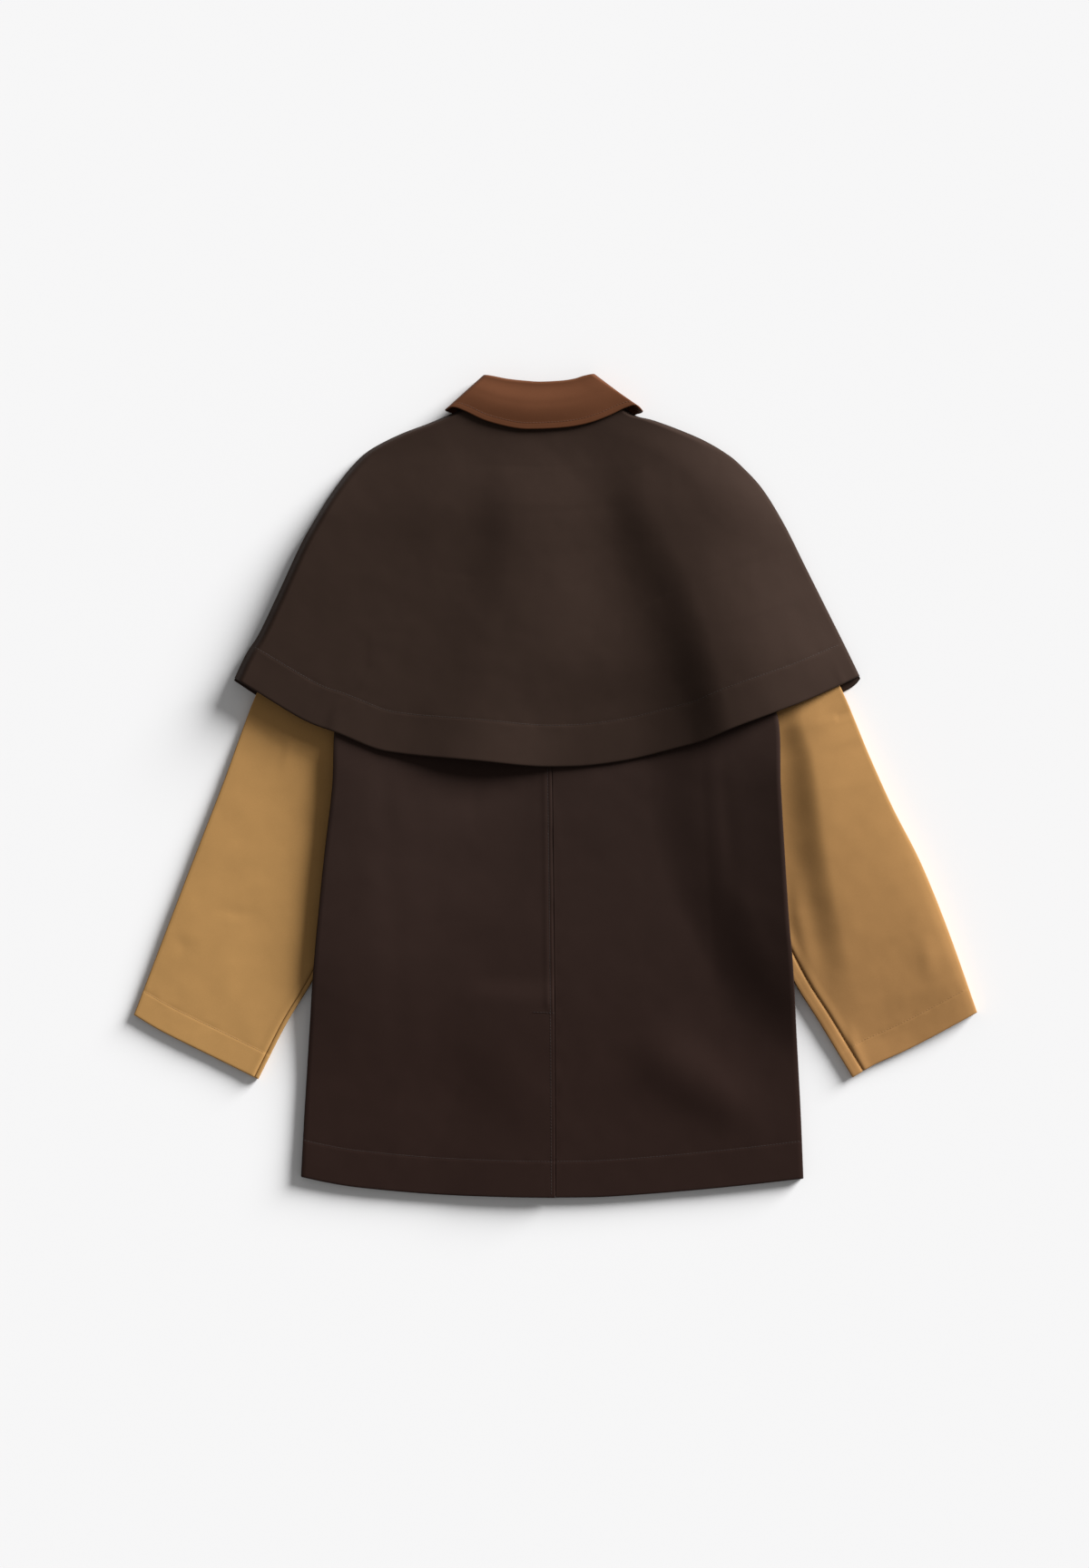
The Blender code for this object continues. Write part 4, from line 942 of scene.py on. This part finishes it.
def cloth_material(name, colour, low_colour):
    """Fine twill: slanted ribs, fibres, and a slow unevenness of the dye."""
    material, nodes, links, shader = new_material(name, 0.62)
    put(shader, {
        "Specular IOR Level": 0.1, "Sheen Weight": 0.015, "Sheen Roughness": 0.45,
        "Specular Tint": (*[c / colour[0] for c in colour], 1.0),
        "Sheen Tint": (*[min(1.0, 0.35 + 2 * c) for c in colour], 1.0),
    })
    place = nodes.new("ShaderNodeTexCoord")

    def noise(scale, detail):
        node = nodes.new("ShaderNodeTexNoise")
        put(node, {"Scale": scale, "Detail": detail})
        links.new(place.outputs["Object"], node.inputs["Vector"])
        return node.outputs["Fac"]

    turn = nodes.new("ShaderNodeMapping")
    put(turn, {"Rotation": (0, 0, radians(TWILL_ANGLE))})
    links.new(place.outputs["Object"], turn.inputs["Vector"])
    ribs = nodes.new("ShaderNodeTexWave")
    put(ribs, {"Scale": TWILL_SCALE, "Distortion": 0.6, "Detail Scale": 2.0})
    links.new(turn.outputs["Vector"], ribs.inputs["Vector"])

    dye, fibre = noise(42.0, 4.0), noise(1500.0, 2.0)
    blend = nodes.new("ShaderNodeMix")
    blend.data_type = "RGBA"
    put(blend, {"Factor": 0.35})
    links.new(shade(nodes, links, colour, (0.9, 1.1), dye), blend.inputs["A"])
    links.new(shade(nodes, links, colour, (0.7, 1.3), fibre), blend.inputs["B"])
    tint = nodes.new("ShaderNodeMix")
    tint.data_type, tint.blend_type = "RGBA", "MULTIPLY"
    put(tint, {"B": (*[low / c for low, c in zip(low_colour, colour)], 1.0)})
    split, down = nodes.new("ShaderNodeSeparateXYZ"), nodes.new("ShaderNodeMapRange")
    links.new(place.outputs["Object"], split.inputs["Vector"])
    put(down, {"From Min": FADE_TOP * MM, "From Max": FADE_LOW * MM})
    links.new(split.outputs["Y"], down.inputs["Value"])
    links.new(down.outputs["Result"], tint.inputs["Factor"])
    links.new(blend.outputs["Result"], tint.inputs["A"])
    links.new(tint.outputs["Result"], shader.inputs["Base Color"])

    weave, fuzz = nodes.new("ShaderNodeBump"), nodes.new("ShaderNodeBump")
    for bump, strength, distance, source in (
        (weave, 0.35, 0.12, ribs.outputs["Fac"]), (fuzz, 0.3, 0.15, fibre),
    ):
        put(bump, {"Strength": strength, "Distance": distance * MM})
        links.new(source, bump.inputs["Height"])
    links.new(weave.outputs["Normal"], fuzz.inputs["Normal"])
    links.new(fuzz.outputs["Normal"], shader.inputs["Normal"])
    return material


def thread_material(name, colour):
    material, nodes, links, shader = new_material(name, 0.55)
    place, noise = nodes.new("ShaderNodeTexCoord"), nodes.new("ShaderNodeTexNoise")
    put(noise, {"Scale": 900.0})
    links.new(place.outputs["Object"], noise.inputs["Vector"])
    tone = shade(nodes, links, colour, THREAD_SHADES, noise.outputs["Fac"])
    links.new(tone, shader.inputs["Base Color"])
    return material


# The light and the camera.
AMBIENT = 0.25
KEY_STRENGTH, KEY_SPREAD = 7.85, 28.0
KEY_ELEVATION, KEY_AZIMUTH = 20.0, 40.0  # azimuth from +x towards +y: the light comes from the upper right
LENS, SENSOR = 85.0, 36.0
CAMERA_X, CAMERA_Y, CAMERA_HEIGHT = -0.012, 0.002, 4.08  # the photograph's 1.2 x 1.728 m frame


def build_stage():
    bpy.ops.mesh.primitive_circle_add(vertices=96, radius=12, fill_type="NGON", location=(0, 0, -0.0004))
    floor = bpy.context.object
    floor.name = "floor"
    paint, _, _, shader = new_material("floor_paint", 0.95)
    put(shader, {"Base Color": (0.84, 0.84, 0.845, 1), "Specular IOR Level": 0.1})
    floor.data.materials.append(paint)

    world = bpy.data.worlds.new("studio")
    bpy.context.scene.world = world
    world.use_nodes = True
    put(world.node_tree.nodes["Background"], {"Color": (1.0, 0.99, 0.98, 1), "Strength": AMBIENT})
    key = bpy.data.lights.new("key", "SUN")
    key.energy, key.angle = KEY_STRENGTH, radians(KEY_SPREAD)
    lamp = bpy.data.objects.new("key", key)
    elevation, azimuth = radians(KEY_ELEVATION), radians(KEY_AZIMUTH)
    towards = Vector((cos(elevation) * cos(azimuth), cos(elevation) * sin(azimuth), sin(elevation)))
    lamp.rotation_euler = towards.to_track_quat("Z", "Y").to_euler()
    bpy.context.scene.collection.objects.link(lamp)

    camera = bpy.data.objects.new("camera", bpy.data.cameras.new("camera"))
    camera.data.lens, camera.data.sensor_width = LENS, SENSOR
    camera.location = (CAMERA_X, CAMERA_Y, CAMERA_HEIGHT)
    bpy.context.scene.collection.objects.link(camera)
    bpy.context.scene.camera = camera
    bpy.context.scene.view_settings.view_transform = "Standard"


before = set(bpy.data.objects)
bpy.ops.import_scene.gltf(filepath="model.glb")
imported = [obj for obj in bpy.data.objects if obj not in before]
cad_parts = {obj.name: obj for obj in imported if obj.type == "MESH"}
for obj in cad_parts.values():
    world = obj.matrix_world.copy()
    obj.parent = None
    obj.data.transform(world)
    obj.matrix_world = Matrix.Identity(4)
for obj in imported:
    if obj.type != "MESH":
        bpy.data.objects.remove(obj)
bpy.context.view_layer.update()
CLOTHS = {name: cloth_material(name + "_twill", *colours) for name, colours in COLOURS.items()}
for name, (colour, _) in COLOURS.items():
    CLOTHS[name + "_thread"] = thread_material(name + "_thread", colour)

body, body_sewn = build_body()
sleeve_left, cuff_left_sewn = build_sleeve(
    "left", ARMHOLE_LEFT, SLEEVE_OUTER_LEFT, SLEEVE_INNER_LEFT, CUFF_LEFT, SEAM_WRAP_LEFT
)
sleeve_right, cuff_right_sewn = build_sleeve(
    "right", ARMHOLE_RIGHT, SLEEVE_OUTER_RIGHT, SLEEVE_INNER_RIGHT, CUFF_RIGHT, SEAM_WRAP_RIGHT
)
cape, cape_sewn = build_cape()
collar, collar_sewn = build_collar()
build_stage()

SEWN = {
    "back_left": [body_sewn], "sleeve_left_back": [cuff_left_sewn], "sleeve_right_back": [cuff_right_sewn],
    "cape_back": [cape_sewn], "collar": [collar_sewn],
}
for piece in (*body, *sleeve_left, *sleeve_right, *cape, *collar):
    node = piece.name.removesuffix("_cloth")
    sewn = SEWN.get(node, ())
    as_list(sewn)
